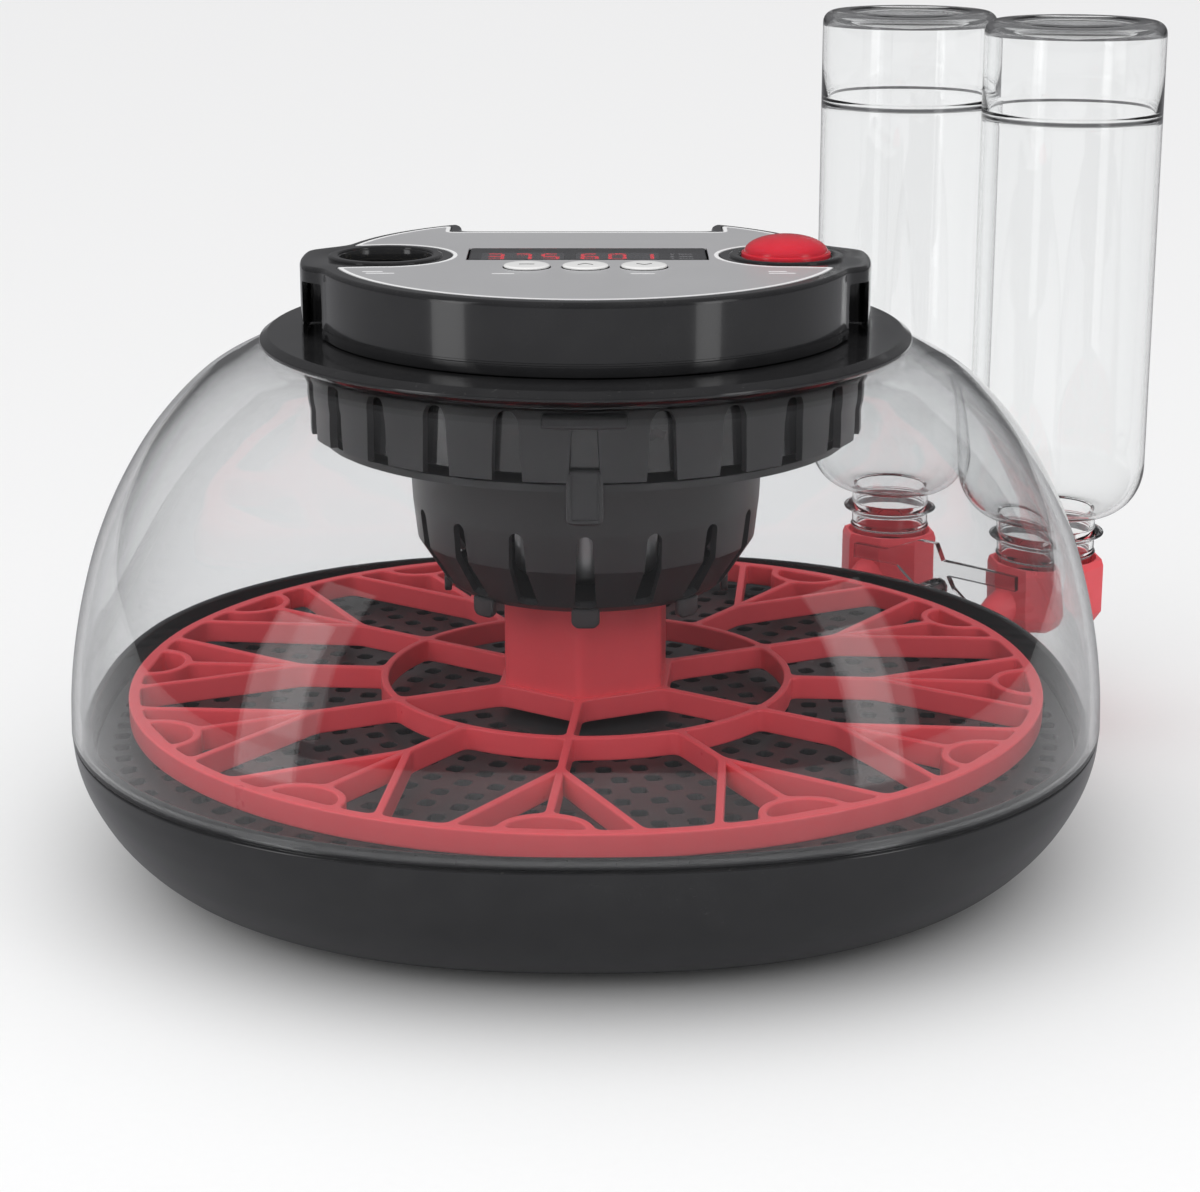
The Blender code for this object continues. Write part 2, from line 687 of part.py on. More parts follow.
def electronics(board, dark, switch):
    """Circuit board with the display, the three key switches and the lamp switch."""
    right_side = [(0.0, -30.0), (49.0, -30.0), (59.0, -20.0), (59.0, 11.0), (46.0, 29.0), (0.0, 29.0)]
    outline = mirrored(right_side)
    prism(outline, *BOARD_Z).make("control_board", board)
    x0, y0, x1, y1 = WINDOW
    over = BOARD_Z[1] + GAP
    prism(rectangle(x0 + 0.5, y0 + 0.5, x1 - 0.5, y1 - 0.5), over, 151.3).make("display_module", dark)
    for name, x in zip(("key_switch_set", "key_switch_up", "key_switch_down"), KEY_X):
        prism(rectangle(x - 3.0, KEY_Y - 3.0, x + 3.0, KEY_Y + 3.0), over, 148.8).make(name, switch)
    prism(rectangle(EYE_X - 4.0, -4.0, EYE_X + 4.0, 4.0), over, 146.6).make("lamp_switch", switch)


def power_inlet(material):
    """Low-voltage inlet in the rear notch: a flanged block with a round socket and a pin."""
    solid = Solid()
    body, flange = rectangle(-8.0, -4.5, 8.0, 4.5), rectangle(-10.0, -6.3, 10.0, 6.3)
    inner, shoulder = solid.stack([(body, -9.0), (body, GAP)])
    flange_low, face = solid.stack([(flange, GAP), (flange, 2.0)])
    mouth, floor = solid.stack([(circle(3.3, 16), 2.0), (circle(3.3, 16), -6.5)])
    pin_low, pin_tip = solid.stack([(circle(1.0, 8), -6.5), (circle(1.0, 8), 1.0)])
    solid.cap(inner)
    solid.cap(flange_low, [shoulder])
    solid.cap(face, [mouth])
    solid.cap(floor, [pin_low])
    solid.cap(pin_tip)
    turned = Matrix.Rotation(np.radians(-90.0), 4, "X")
    solid.make("power_inlet", material, place=(0.0, NOTCH_Y, 144.5), turned=turned)


def head_screws(material):
    """Pan-head screws that hold flange and cover together from below."""
    seat = FLANGE_Z[0] - GAP
    shank = SCREW_SHANK_RADIUS
    corners = ("front_right", "front_left", "rear_right", "rear_left")
    for corner, (x, y) in zip(corners, COVER_SCREWS):
        levels = ((2.2, seat - 1.8), (3.0, seat - 1.3), (3.0, seat), (shank, seat), (shank, SCREW_TOP_Z))
        screw = disc_stack(levels, 10, x, y)
        screw.make("head_screw_" + corner, material, place=(x, y, seat))


def fan(motor_material, rotor_material):
    """Fan motor under the flange and the paddle rotor on its shaft."""
    motor = ((1.5, 101.5), (1.5, 112.0), (13.0, 112.0), (14.0, 113.0), (14.0, MOTOR_TOP_Z))
    disc_stack(motor, 24).make("fan_motor", motor_material, place=(0.0, 0.0, MOTOR_TOP_Z))
    reach, root, half = 38.0, 9.0, 1.0
    outline = []
    for blade in range(FAN_BLADES):
        turn = blade * 360.0 / FAN_BLADES
        tip, foot = np.degrees(half / reach), np.degrees(half / root)
        outline += arc(root, turn - 22.5, turn - 22.5, 1) + arc(root, turn - foot, turn - foot, 1)
        outline += arc(reach, turn - tip, turn + tip, 2) + arc(root, turn + foot, turn + foot, 1)
    prism(outline, *ROTOR_Z, [circle(1.6, 24)]).make("fan_rotor", rotor_material)


def drive(motor_material, coupler_material):
    """Slow motor in the guard and the hexagonal coupler that drops into the turner's hub."""
    motor = Solid()
    foot_z, top_z = DRIVE_MOTOR_Z
    wide, bore = DRIVE_MOTOR_RADIUS, circle(DRIVE_SHAFT_RADIUS + 0.2, 12)
    shaft_top_z = foot_z + 9.7
    case = ((wide - 1.0, foot_z), (wide, foot_z + 1.2), (wide, top_z - 2.0), (wide - 2.5, top_z))
    low, high = motor.stack([(circle(r, 24), z) for r, z in case])
    bore_low, bore_top = motor.stack([(bore, foot_z), (bore, shaft_top_z + 0.5)])
    motor.cap(low, [bore_low])
    motor.cap(bore_top)
    motor.cap(high)
    motor.make("drive_motor", motor_material, place=(0.0, 0.0, foot_z))
    coupler = Solid()
    tip_z, key_top_z = COUPLER_Z
    key = circle(COUPLER_RADIUS, 6, turn=TURNER_PHASE)
    lead_in = circle(COUPLER_RADIUS - 1.0, 6, turn=TURNER_PHASE)
    tip, collar = coupler.stack([(lead_in, tip_z), (key, tip_z + 1.5), (key, key_top_z)])
    shaft = circle(DRIVE_SHAFT_RADIUS, 12)
    shaft_low, shaft_top = coupler.stack([(shaft, key_top_z), (shaft, shaft_top_z)])
    coupler.cap(tip)
    coupler.cap(collar, [shaft_low])
    coupler.cap(shaft_top)
    coupler.make("drive_coupler", coupler_material, place=(0.0, 0.0, tip_z))


def heater_ring(material):
    """Heating element round the fan on three posts."""
    solid = Solid()
    inner, outer = HEATER_RADII
    low_z, high_z = HEATER_Z
    outer_low, outer_high = solid.stack([(circle(outer, 36), low_z), (circle(outer, 36), high_z)])
    inner_low, inner_high = solid.stack([(circle(inner, 36), low_z), (circle(inner, 36), high_z)])
    posts = []
    for turn in (0.0, 120.0, 240.0):
        x, y = arc((inner + outer) / 2.0, turn, turn, 1)[0]
        post = circle(1.8, 8, x, y)
        foot, top = solid.stack([(post, high_z), (post, MOTOR_TOP_Z)])
        posts.append(foot)
        solid.cap(top)
    solid.cap(outer_low, [inner_low])
    solid.cap(outer_high, [inner_high] + posts)
    solid.make("heater_ring", material)


def sensor_probe(material):
    x, y = -30.0, 52.0
    levels = ((1.6, 113.0), (3.2, 114.4), (3.4, 116.0), (3.4, MOTOR_TOP_Z))
    disc_stack(levels, 12, x, y).make("sensor_probe", material, place=(x, y, MOTOR_TOP_Z))


# ---------------------------------------------------------------- bottles and water feed

BRACKET_SPAN = Vector((*BOTTLE_PLACES[1], 0.0)) - Vector((*BOTTLE_PLACES[0], 0.0))
BRACKET_ALONG = BRACKET_SPAN.normalized()
BRACKET_NORMAL = Vector((-BRACKET_ALONG.y, BRACKET_ALONG.x, 0.0))
BRACKET_BOSSES = ((25.2, 29.0), (15.0, 37.3))
SOCKET_OUT = BRACKET_NORMAL.dot(Vector((*BOTTLE_PLACES[0], 0.0)))
SOCKET_RADIUS = 15.4
SOCKET_FLAT = SOCKET_RADIUS * np.cos(np.pi / 8.0)


def bracket_point(along, out, z):
    """World point from the bracket's own directions."""
    return tuple(BRACKET_ALONG * along + BRACKET_NORMAL * out + Vector((0.0, 0.0, z)))


def spout_points(place):
    """Start and end of a socket's spout, which runs down towards the base's axis."""
    outward = Vector((*place, 0.0))
    inward = -outward.normalized()
    points = []
    for distance, z in (SPOUT_START, SPOUT_END):
        points.append(tuple(outward + inward * distance + Vector((0.0, 0.0, z))))
    return points


def water_socket(number, place, material):
    """Faceted cup that takes the bottle's neck, with a tapering spout into the base."""
    x, y = place
    facing = np.degrees(np.arctan2(-BRACKET_NORMAL.x, BRACKET_NORMAL.y)) + 22.5
    solid = Solid()

    def facet(radius):
        return circle(radius, 8, x, y, facing)

    outside = ((10.0, 27.4), (13.2, 29.2), (SOCKET_RADIUS, 32.5), (SOCKET_RADIUS, 46.6), (14.8, 48.5))
    low, rim = solid.stack([(facet(r), z) for r, z in outside])
    solid.cap(low)
    solid.cap(rim)
    cup = solid.make(f"water_socket_{number}", material, place=(x, y, 27.4), smooth=20.0)
    start, end = spout_points(place)
    length = (Vector(end) - Vector(start)).length
    turned = aim(start, end)
    spout = disc_stack(((5.8, -10.0), (5.4, -3.0), (4.4, 2.0), (3.6, 6.0), (3.6, length)), 16)
    cutter(spout, f"spout_joiner_{number}", cup, "UNION", place=start, turned=turned)
    well = disc_stack(((13.2, 31.0), (13.2, 60.0)), 24, x, y)
    cutter(well, f"well_cutter_{number}", cup, place=(x, y, 31.0))
    bore = disc_stack(((2.2, -9.0), (2.2, length + 4.0)), 12)
    cutter(bore, f"spout_bore_cutter_{number}", cup, place=start, turned=turned)


def spout_grommet(number, place, material):
    start, end = spout_points(place)
    ring = ((3.8, 9.0), (4.5, 9.0), (4.5, 14.0), (3.8, 14.0))
    tube_stack(ring, 16).make(f"spout_grommet_{number}", material, place=start, turned=aim(start, end))


def neck_seal(number, place, material):
    x, y = place
    ring = ((12.4, 40.0), (13.0, 40.0), (13.0, 42.5), (12.4, 42.5))
    tube_stack(ring, 24, x, y).make(f"neck_seal_{number}", material, place=(x, y, 40.0))


def bottle(number, place, material):
    """Inverted clear bottle: open mouth in the socket, support ring, shoulder and flat base."""
    x, y = place
    neck = NECK_RADIUS
    shoulder = [(neck + (BOTTLE_RADIUS - neck) * np.sin(a), 62.0 + 15.0 * (1.0 - np.cos(a)))
                for a in np.radians((15, 35, 55, 72, 90))]
    top = [(BOTTLE_RADIUS, BOTTLE_TOP_Z - 4.0), (BOTTLE_RADIUS - 1.2, BOTTLE_TOP_Z - 1.2),
           (BOTTLE_RADIUS - 4.0, BOTTLE_TOP_Z)]
    outside = [(11.6, 32.5), (11.9, 49.6), (12.7, 50.4), (12.2, 51.4), (12.2, 54.6), (15.4, 56.3),
               (12.2, 58.0), (neck, 62.0)] + shoulder + top
    inside = [(10.6, 32.5), (10.9, 50.0), (11.1, 54.6), (11.1, 62.6)]
    inside += [(r - 1.0, z + 0.8) for r, z in shoulder[1:-1]]
    inside += [(BOTTLE_RADIUS - 1.0, 77.5), (BOTTLE_RADIUS - 1.0, BOTTLE_TOP_Z - 4.5),
               (BOTTLE_RADIUS - 4.6, BOTTLE_TOP_Z - 1.2)]
    sides = 20
    solid = Solid()
    mouth, base = solid.stack([(circle(r, sides, x, y), z) for r, z in outside])
    inner_mouth, inner_base = solid.stack([(circle(r, sides, x, y), z) for r, z in inside])
    solid.band(mouth, inner_mouth)
    solid.cap(base)
    solid.cap(inner_base)
    solid.make(f"bottle_{number}", material, place=(x, y, 32.5), smooth=40.0)


def bottle_bracket(clear, steel):
    """Clear strap in front of both sockets, on two posts screwed to the base's side."""
    near = SOCKET_OUT - SOCKET_FLAT - GAP
    far = near - 2.5
    outline = [(-16.0, 42.0), (0.0, 42.0), (10.0, 34.5), (18.0, 29.5), (21.0, 25.0), (29.5, 25.0),
               (29.5, 32.0), (21.0, 38.5), (19.0, 42.0), (45.0, 42.0), (45.0, 46.5), (17.0, 46.5),
               (14.5, 51.5), (8.0, 51.5), (-4.0, 46.5), (-16.0, 46.5)]
    # built lying down: local x runs along the strap, local y up, local z towards the dome
    solid = Solid()
    back, front = solid.stack([(outline, -near), (outline, -far)])
    back_holes, posts = [], []
    for along, z in BRACKET_BOSSES:
        reach = 138.1 if z > 33.0 else 135.9
        hole, post = circle(1.8, 12, along, z), circle(3.4, 12, along, z)
        hole_back, hole_front = solid.stack([(hole, -near), (hole, -reach)])
        post_low, post_tip = solid.stack([(post, -far), (post, -reach)])
        back_holes.append(hole_back)
        posts.append(post_low)
        solid.cap(post_tip, [hole_front])
    solid.cap(back, back_holes)
    solid.cap(front, posts)
    turned = Matrix.Identity(4)
    turned.col[0] = (*BRACKET_ALONG, 0.0)
    turned.col[1] = (0.0, 0.0, 1.0, 0.0)
    turned.col[2] = (*(-BRACKET_NORMAL), 0.0)
    solid.make("bottle_bracket", clear, turned=turned)
    for i, (along, z) in enumerate(BRACKET_BOSSES, start=1):
        levels = ((1.5, 0.0), (1.5, near + GAP - 131.0), (3.0, near + GAP - 131.0),
                  (3.0, near + GAP - 130.0), (2.0, near + GAP - 129.2))
        screw = disc_stack(levels, 10)
        place = bracket_point(along, 131.0, z)
        screw.make(f"bracket_screw_{i}", steel, place=place, turned=aim((0, 0, 0), BRACKET_NORMAL))


def build():
    for piece in list(bpy.data.objects):
        bpy.data.objects.remove(piece, do_unlink=True)
    black = principled("gloss_black_plastic", (0.012, 0.012, 0.013), 0.12)
    satin = principled("satin_black_plastic", (0.018, 0.018, 0.019), 0.32)
    red = principled("coral_red_plastic", (0.75, 0.07, 0.08), 0.28)
    clear = principled("clear_dome_plastic", (0.95, 0.97, 0.98), 0.03, transmission=1.0)
    bottle_clear = principled("clear_bottle_plastic", (0.97, 0.98, 0.98), 0.02, transmission=1.0)
    bracket_clear = principled("clear_bracket_plastic", (0.96, 0.97, 0.97), 0.05, transmission=1.0)
    rubber = principled("soft_rubber", (0.03, 0.03, 0.03), 0.7)
    silver = principled("silver_label", (0.6, 0.6, 0.61), 0.35, 0.5)
    white = principled("white_key_plastic", (0.85, 0.85, 0.85), 0.3)
    window = principled("display_glass", (0.03, 0.03, 0.035), 0.05)
    board = principled("green_circuit_board", (0.02, 0.16, 0.06), 0.4)
    steel = principled("plain_steel", (0.55, 0.55, 0.56), 0.3, 1.0)
    lamp = principled("lamp_emitter", (1.0, 0.86, 0.5), 0.3, emission=1.0)
    lens = principled("candling_lens_glass", (0.95, 0.95, 0.93), 0.05, transmission=1.0)

    base_shell(black)
    feet(rubber)
    floor_grille(satin)
    turner_disc(red)
    dome_shell(clear)
    head_cover(black)
    head_flange(black)
    vent_crown(satin)
    fan_guard(satin)
    control_label(silver)
    keys_and_window(white, window)
    lamp_button(red)
    candling_eye(satin, lens, lamp)
    electronics(board, window, satin)
    power_inlet(satin)
    head_screws(steel)
    fan(steel, satin)
    drive(steel, white)
    heater_ring(steel)
    sensor_probe(satin)
    for number, place in enumerate(BOTTLE_PLACES, start=1):
        water_socket(number, place, red)
        spout_grommet(number, place, rubber)
        neck_seal(number, place, rubber)
        bottle(number, place, bottle_clear)
    bottle_bracket(bracket_clear, steel)


build()
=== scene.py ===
"""Looks of the egg incubator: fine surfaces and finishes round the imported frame.

Lengths in the shape functions are millimetres, in the frame's own axes (+Z up, keys towards
-Y, origin on the dome's axis at table level). Angles named turn are degrees from the front
towards +X. Each fine piece takes its size and place from the node that it stands for.
"""

import json

import bpy
import bmesh
import numpy as np
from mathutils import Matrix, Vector
from mathutils.geometry import delaunay_2d_cdt

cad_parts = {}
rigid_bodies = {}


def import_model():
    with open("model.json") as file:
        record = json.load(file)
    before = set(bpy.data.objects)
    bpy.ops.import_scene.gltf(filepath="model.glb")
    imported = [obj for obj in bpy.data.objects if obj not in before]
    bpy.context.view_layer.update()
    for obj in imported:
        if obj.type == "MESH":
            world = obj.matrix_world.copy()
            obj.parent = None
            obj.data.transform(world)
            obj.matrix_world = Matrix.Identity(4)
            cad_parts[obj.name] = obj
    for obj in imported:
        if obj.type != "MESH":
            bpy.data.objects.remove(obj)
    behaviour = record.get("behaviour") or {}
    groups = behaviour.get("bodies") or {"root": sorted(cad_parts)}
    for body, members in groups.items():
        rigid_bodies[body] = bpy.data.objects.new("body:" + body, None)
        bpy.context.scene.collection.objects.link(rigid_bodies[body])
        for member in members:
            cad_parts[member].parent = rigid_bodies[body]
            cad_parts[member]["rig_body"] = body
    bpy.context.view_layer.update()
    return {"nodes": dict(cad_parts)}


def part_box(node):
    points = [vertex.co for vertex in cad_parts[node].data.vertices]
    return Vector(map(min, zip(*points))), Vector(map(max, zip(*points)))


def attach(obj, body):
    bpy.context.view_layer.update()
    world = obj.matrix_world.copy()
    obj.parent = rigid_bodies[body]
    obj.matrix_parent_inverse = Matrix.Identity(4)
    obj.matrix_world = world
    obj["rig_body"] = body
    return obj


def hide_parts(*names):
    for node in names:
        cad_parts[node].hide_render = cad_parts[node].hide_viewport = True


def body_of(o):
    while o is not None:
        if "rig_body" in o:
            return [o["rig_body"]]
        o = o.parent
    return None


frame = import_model()

MM = 0.001
ROUND = 192                    # columns of a large turned surface
GUARD = 0.25                   # flat margin beside a rounded edge, so that flats shade flat
PLAN_POWER = 2.3               # base and dome are slightly squared circles
TURNER_PHASE = -4.3
EYE_X = 50.6
SURROUND_RADIUS = 17.0
COVER_Z = (136.8, 154.5)
CEILING_Z = 151.5
CREASE = 38.0                  # edges sharper than this stay sharp in the shading, degrees
KEY_X = (-14.5, 0.0, 14.5)
KEY_Y = -17.5


def span(node):
    """Lowest and highest corner of a node, in millimetres."""
    low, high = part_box(node)
    return np.array(low) / MM, np.array(high) / MM


def middle(node):
    low, high = span(node)
    return (low + high) / 2.0


# ---------------------------------------------------------------- curves and outlines

def arc(radius, start, end, count, x=0.0, y=0.0):
    """(x + r sin t, y - r cos t) for turn angles t from start to end."""
    turn = np.radians(np.linspace(start, end, count))
    return np.stack([x + radius * np.sin(turn), y - radius * np.cos(turn)], axis=1)


def ring(radius, count=48, x=0.0, y=0.0, turn=0.0):
    """A closed circle, anticlockwise."""
    return arc(radius, turn, turn + 360.0, count + 1, x, y)[:-1]


def plan_reach(turn, power):
    """Radius factor of the squared circle |x|^p + |y|^p = 1 at a turn angle in radians."""
    return (np.abs(np.sin(turn)) ** power + np.abs(np.cos(turn)) ** power) ** (-1.0 / power)


def plan_ring(radius, count=ROUND, power=PLAN_POWER):
    turn = np.linspace(0.0, 2.0 * np.pi, count, endpoint=False)
    reach = radius * plan_reach(turn, power)
    return np.stack([reach * np.sin(turn), -reach * np.cos(turn)], axis=1)


def rectangle(x0, y0, x1, y1):
    return np.array([(x0, y0), (x1, y0), (x1, y1), (x0, y1)], float)


def mirrored(right):
    """A closed outline from its right half, given from front to rear."""
    left = right[::-1] * (-1.0, 1.0)
    return np.vstack([right, left[np.abs(left[:, 0]) > 1e-6]])


def anticlockwise(outline):
    x, y = outline[:, 0], outline[:, 1]
    area = np.sum(x * np.roll(y, -1) - np.roll(x, -1) * y)
    return outline if area > 0.0 else outline[::-1]


def even(outline, spacing, blur=0.0):
    """The closed outline at even spacing, its corners rounded by a running mean of width blur."""
    ends = np.vstack([outline, outline[:1]])
    along = np.concatenate([[0.0], np.cumsum(np.linalg.norm(np.diff(ends, axis=0), axis=1))])
    count = max(8, int(round(along[-1] / spacing)))
    fine = 8 * count
    at = np.linspace(0.0, along[-1], fine, endpoint=False)
    points = np.stack([np.interp(at, along, ends[:, axis]) for axis in range(2)], axis=1)
    if blur > 0.0:
        reach = np.minimum(at, along[-1] - at)
        weight = np.exp(-0.5 * (reach / blur) ** 2)
        weight /= weight.sum()
        kernel = np.fft.fft(weight)[:, None]
        points = np.real(np.fft.ifft(np.fft.fft(points, axis=0) * kernel, axis=0))
    return points[::8]


def shift(outline, distance):
    """Every point of a closed outline moved to its left by distance, along its mean normal.

    Where the outline bends more tightly than the distance, the move is held to 0.7 of its radius.
    """
    step = np.roll(outline, -1, axis=0) - outline
    length = np.maximum(np.linalg.norm(step, axis=1), 1e-9)
    ahead = step / length[:, None]
    left = np.stack([-ahead[:, 1], ahead[:, 0]], axis=1)
    before = np.roll(left, 1, axis=0)
    mitre = left + before
    mitre /= np.maximum(0.6, 1.0 + np.sum(left * before, axis=1))[:, None]
    bend = np.arcsin(np.clip(before[:, 0] * left[:, 1] - before[:, 1] * left[:, 0], -1.0, 1.0))
    bend *= np.sign(distance)
    room = 0.7 * 0.5 * (length + np.roll(length, 1)) / np.maximum(bend, 1e-6)
    near = np.stack([np.roll(room, k) for k in range(-3, 4)])
    room = near.min(axis=0)
    room = np.mean([np.roll(room, k) for k in range(-2, 3)], axis=0)
    return outline + np.sign(distance) * np.minimum(abs(distance), room)[:, None] * mitre


def stepped(outline, distance, step=0.2):
    """A closed outline moved to its left in small steps, evened out after each one."""
    for _ in range(int(round(abs(distance) / step))):
        outline = even(shift(outline, np.sign(distance) * step), 0.8, 0.12)
    return outline


def fillet(points, radius, steps=6, guard=GUARD):
    """An open chain of (radius, z) points with each corner replaced by an arc.

    radius is one number or one for each point; the arc is a circle tangent to both sides.
    """
    points = np.asarray(points, float)
    radii = np.broadcast_to(np.asarray(radius, float), len(points))
    result = [points[:1]]
    for before, corner, after, size in zip(points, points[1:], points[2:], radii[1:]):
        back, on = before - corner, after - corner
        longest = 0.45 * min(np.linalg.norm(back), np.linalg.norm(on))
        back, on = back / np.linalg.norm(back), on / np.linalg.norm(on)
        half = 0.5 * np.arccos(np.clip(back @ on, -1.0, 1.0))
        if size <= 0.0 or half > 1.55 or longest < 0.02:
            result.append(corner[None])
            continue
        reach = min(size / np.tan(half), longest)
        size = reach * np.tan(half)
        centre = corner + (back + on) / np.linalg.norm(back + on) * size / np.sin(half)
        first, last = corner + back * reach - centre, corner + on * reach - centre
        swing = np.pi - 2.0 * half
        share = np.linspace(0.0, 1.0, steps + 1)[:, None]
        bend = (np.sin((1.0 - share) * swing) * first + np.sin(share * swing) * last) / np.sin(swing)
        bend = centre + bend
        if guard > 0.0 and longest - reach > guard:
            bend = np.vstack([bend[:1] + back * guard, bend, bend[-1:] + on * guard])
        result.append(bend)
    result.append(points[-1:])
    return np.vstack(result)


def flowing(points, steps=8):
    """Catmull-Rom curve through an open chain of points."""
    points = np.asarray(points, float)
    padded = np.vstack([2.0 * points[0] - points[1], points, 2.0 * points[-1] - points[-2]])
    share = (np.arange(steps) / steps)[None, :, None]
    a, b, c, d = (padded[i:len(points) - 1 + i, None] for i in range(4))
    curve = 0.5 * (2.0 * b + (c - a) * share + (2.0 * a - 5.0 * b + 4.0 * c - d) * share ** 2
                   + (3.0 * b - a - 3.0 * c + d) * share ** 3)
    return np.vstack([curve.reshape(-1, points.shape[1]), points[-1:]])


def inward(profile, wall):
    """A (radius, z) profile moved to the left of its travel by a wall thickness."""
    ahead = np.gradient(profile, axis=0)
    ahead /= np.linalg.norm(ahead, axis=1)[:, None]
    return profile + wall * np.stack([-ahead[:, 1], ahead[:, 0]], axis=1)


# ---------------------------------------------------------------- surfaces

class Skin:
    """Grids of points and the faces woven between them, kept as whole arrays."""

    def __init__(self):
        self.points = np.empty((0, 3))
        self.faces = []

    def add(self, grid):
        """Take in points of any grid shape (..., 3) and return their numbers in that shape."""
        grid = np.asarray(grid, float)
        numbers = np.arange(grid[..., 0].size).reshape(grid.shape[:-1]) + len(self.points)
        self.points = np.vstack([self.points, grid.reshape(-1, 3)])
        return numbers

    def weave(self, numbers, wrap=True, loop=False):
        """Quads between rows and columns; wrap joins the last column to the first, loop the rows."""
        rows = np.vstack([numbers, numbers[:1]]) if loop else numbers
        rows = np.hstack([rows, rows[:, :1]]) if wrap else rows
        quads = np.stack([rows[:-1, :-1], rows[:-1, 1:], rows[1:, 1:], rows[1:, :-1]], axis=-1)
        self.faces += quads.reshape(-1, 4).tolist()

    def fan(self, numbers, up):
        """Close a ring with triangles to the mean of its points."""
        hub = np.full(len(numbers), self.add(self.points[numbers].mean(axis=0)[None])[0])
        ahead = np.roll(numbers, -1)
        corners = (numbers, ahead, hub) if up else (ahead, numbers, hub)
        self.faces += np.stack(corners, axis=-1).tolist()

    def fill(self, rings, up):
        """Triangles over the level area inside the first ring and outside the others."""
        numbers = np.concatenate(rings)
        lengths = [len(r) for r in rings]
        owner = np.repeat(np.arange(len(rings)), lengths)
        starts = np.cumsum([0] + lengths[:-1])
        ahead = np.concatenate([first + np.roll(np.arange(n), -1) for first, n in zip(starts, lengths)])
        flat = self.points[numbers][:, :2]
        edges = np.stack([np.arange(len(numbers)), ahead], axis=1).tolist()
        found = delaunay_2d_cdt([Vector(p) for p in flat], edges, [], 0, 1e-7)
        sources = np.array([s[0] for s in found[3]])
        corners = sources[np.array(found[2])]
        owners = owner[corners]
        keep = np.ones(len(corners), bool)
        same = (owners[:, 0] == owners[:, 1]) & (owners[:, 1] == owners[:, 2])
        centre = flat[corners].mean(axis=1)
        for i, loop in enumerate(rings):
            mine = same & (owners[:, 0] == i)
            inside = within(centre[mine], self.points[loop][:, :2])
            keep[mine] = inside if i == 0 else ~inside
        corners = corners[keep]
        x, y = flat[corners][..., 0], flat[corners][..., 1]
        area = ((x[:, 1] - x[:, 0]) * (y[:, 2] - y[:, 0]) - (x[:, 2] - x[:, 0]) * (y[:, 1] - y[:, 0]))
        turned = (area > 0.0) != up
        corners[turned] = corners[turned][:, ::-1]
        self.faces += numbers[corners].tolist()

    def make(self, name, material, body, slot, replaces=(), crease=CREASE):
        mesh = bpy.data.meshes.new(name)
        mesh.from_pydata((self.points * MM).tolist(), [], self.faces)
        mesh.shade_smooth()
        mesh.set_sharp_from_angle(angle=np.radians(crease))
        mesh.materials.append(material)
        piece = bpy.data.objects.new(name, mesh)
        bpy.context.scene.collection.objects.link(piece)
        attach(piece, body)
        if replaces:
            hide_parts(*replaces)
        return piece


def within(points, outline):
    """Even-odd test of many points against one closed outline."""
    ahead = np.roll(outline, -1, axis=0)
    x, y = points[:, :1], points[:, 1:]
    spans = (outline[:, 1] > y) != (ahead[:, 1] > y)
    rise = np.where(ahead[:, 1] == outline[:, 1], 1.0, ahead[:, 1] - outline[:, 1])
    cross = outline[:, 0] + (y - outline[:, 1]) * (ahead[:, 0] - outline[:, 0]) / rise
    return np.count_nonzero(spans & (cross > x), axis=1) % 2 == 1


def squared(powers, columns=ROUND):
    """Reach factors (rows, columns) of squared circles, one power for each profile point."""
    angle = np.linspace(0.0, 2.0 * np.pi, columns, endpoint=False)
    return plan_reach(angle[None], np.asarray(powers, float)[:, None])


def hexed(shares, columns=ROUND, soften=2.2):
    """Reach factors between a circle (share 0) and a hexagon with rounded corners (share 1).

    The hexagon is cos 30 / cos(a mod 60 - 30), averaged over soften degrees.
    """
    angle = np.linspace(0.0, 360.0, columns, endpoint=False)
    edge = np.cos(np.radians(30.0)) / np.cos(np.radians(angle % 60.0 - 30.0))
    reach = np.minimum(angle, 360.0 - angle)
    weight = np.exp(-0.5 * (reach / soften) ** 2)
    edge = np.real(np.fft.ifft(np.fft.fft(edge) * np.fft.fft(weight / weight.sum())))
    shares = np.asarray(shares, float)[:, None]
    return 1.0 - shares + shares * edge[None]


def lathe(skin, profile, columns=ROUND, x=0.0, y=0.0, shape=None, loop=False, turn=0.0):
    """Turned surface (x + r k sin a, y - r k cos a, z) along a (r, z) profile climbing its outside.

    shape gives k for each profile point and column, 1 for a round piece. loop joins the
    profile's ends into a tube; otherwise each end is closed on the axis.
    """
    profile = np.asarray(profile, float)
    angle = np.linspace(0.0, 2.0 * np.pi, columns, endpoint=False) + np.radians(turn)
    reach = profile[:, :1] * (np.ones((len(profile), columns)) if shape is None else shape)
    height = np.broadcast_to(profile[:, 1:], reach.shape)
    numbers = skin.add(np.stack([x + reach * np.sin(angle), y - reach * np.cos(angle), height], axis=-1))
    skin.weave(numbers, loop=loop)
    if not loop:
        skin.fan(numbers[0], up=False)
        skin.fan(numbers[-1], up=True)
    return skin


def rounded_section(low, high, edge, steps=3):
    """(inset, z) up the side of a sheet whose two edges are quarter circles of radius edge."""
    swing = np.linspace(0.0, 0.5 * np.pi, steps + 1)
    lower = np.stack([edge * (1.0 - np.sin(swing)), low + edge * (1.0 - np.cos(swing))], axis=1)
    upper = np.stack([edge * (1.0 - np.cos(swing)), high - edge * (1.0 - np.sin(swing))], axis=1)
    guard = min(GUARD, 0.25 * (high - low - 2.0 * edge) + 1e-3)
    margin = edge + min(GUARD, 2.0 * edge)
    return np.vstack([[(margin, low)], lower, [(0.0, low + edge + guard)],
                      [(0.0, high - edge - guard)], upper, [(margin, high)]])


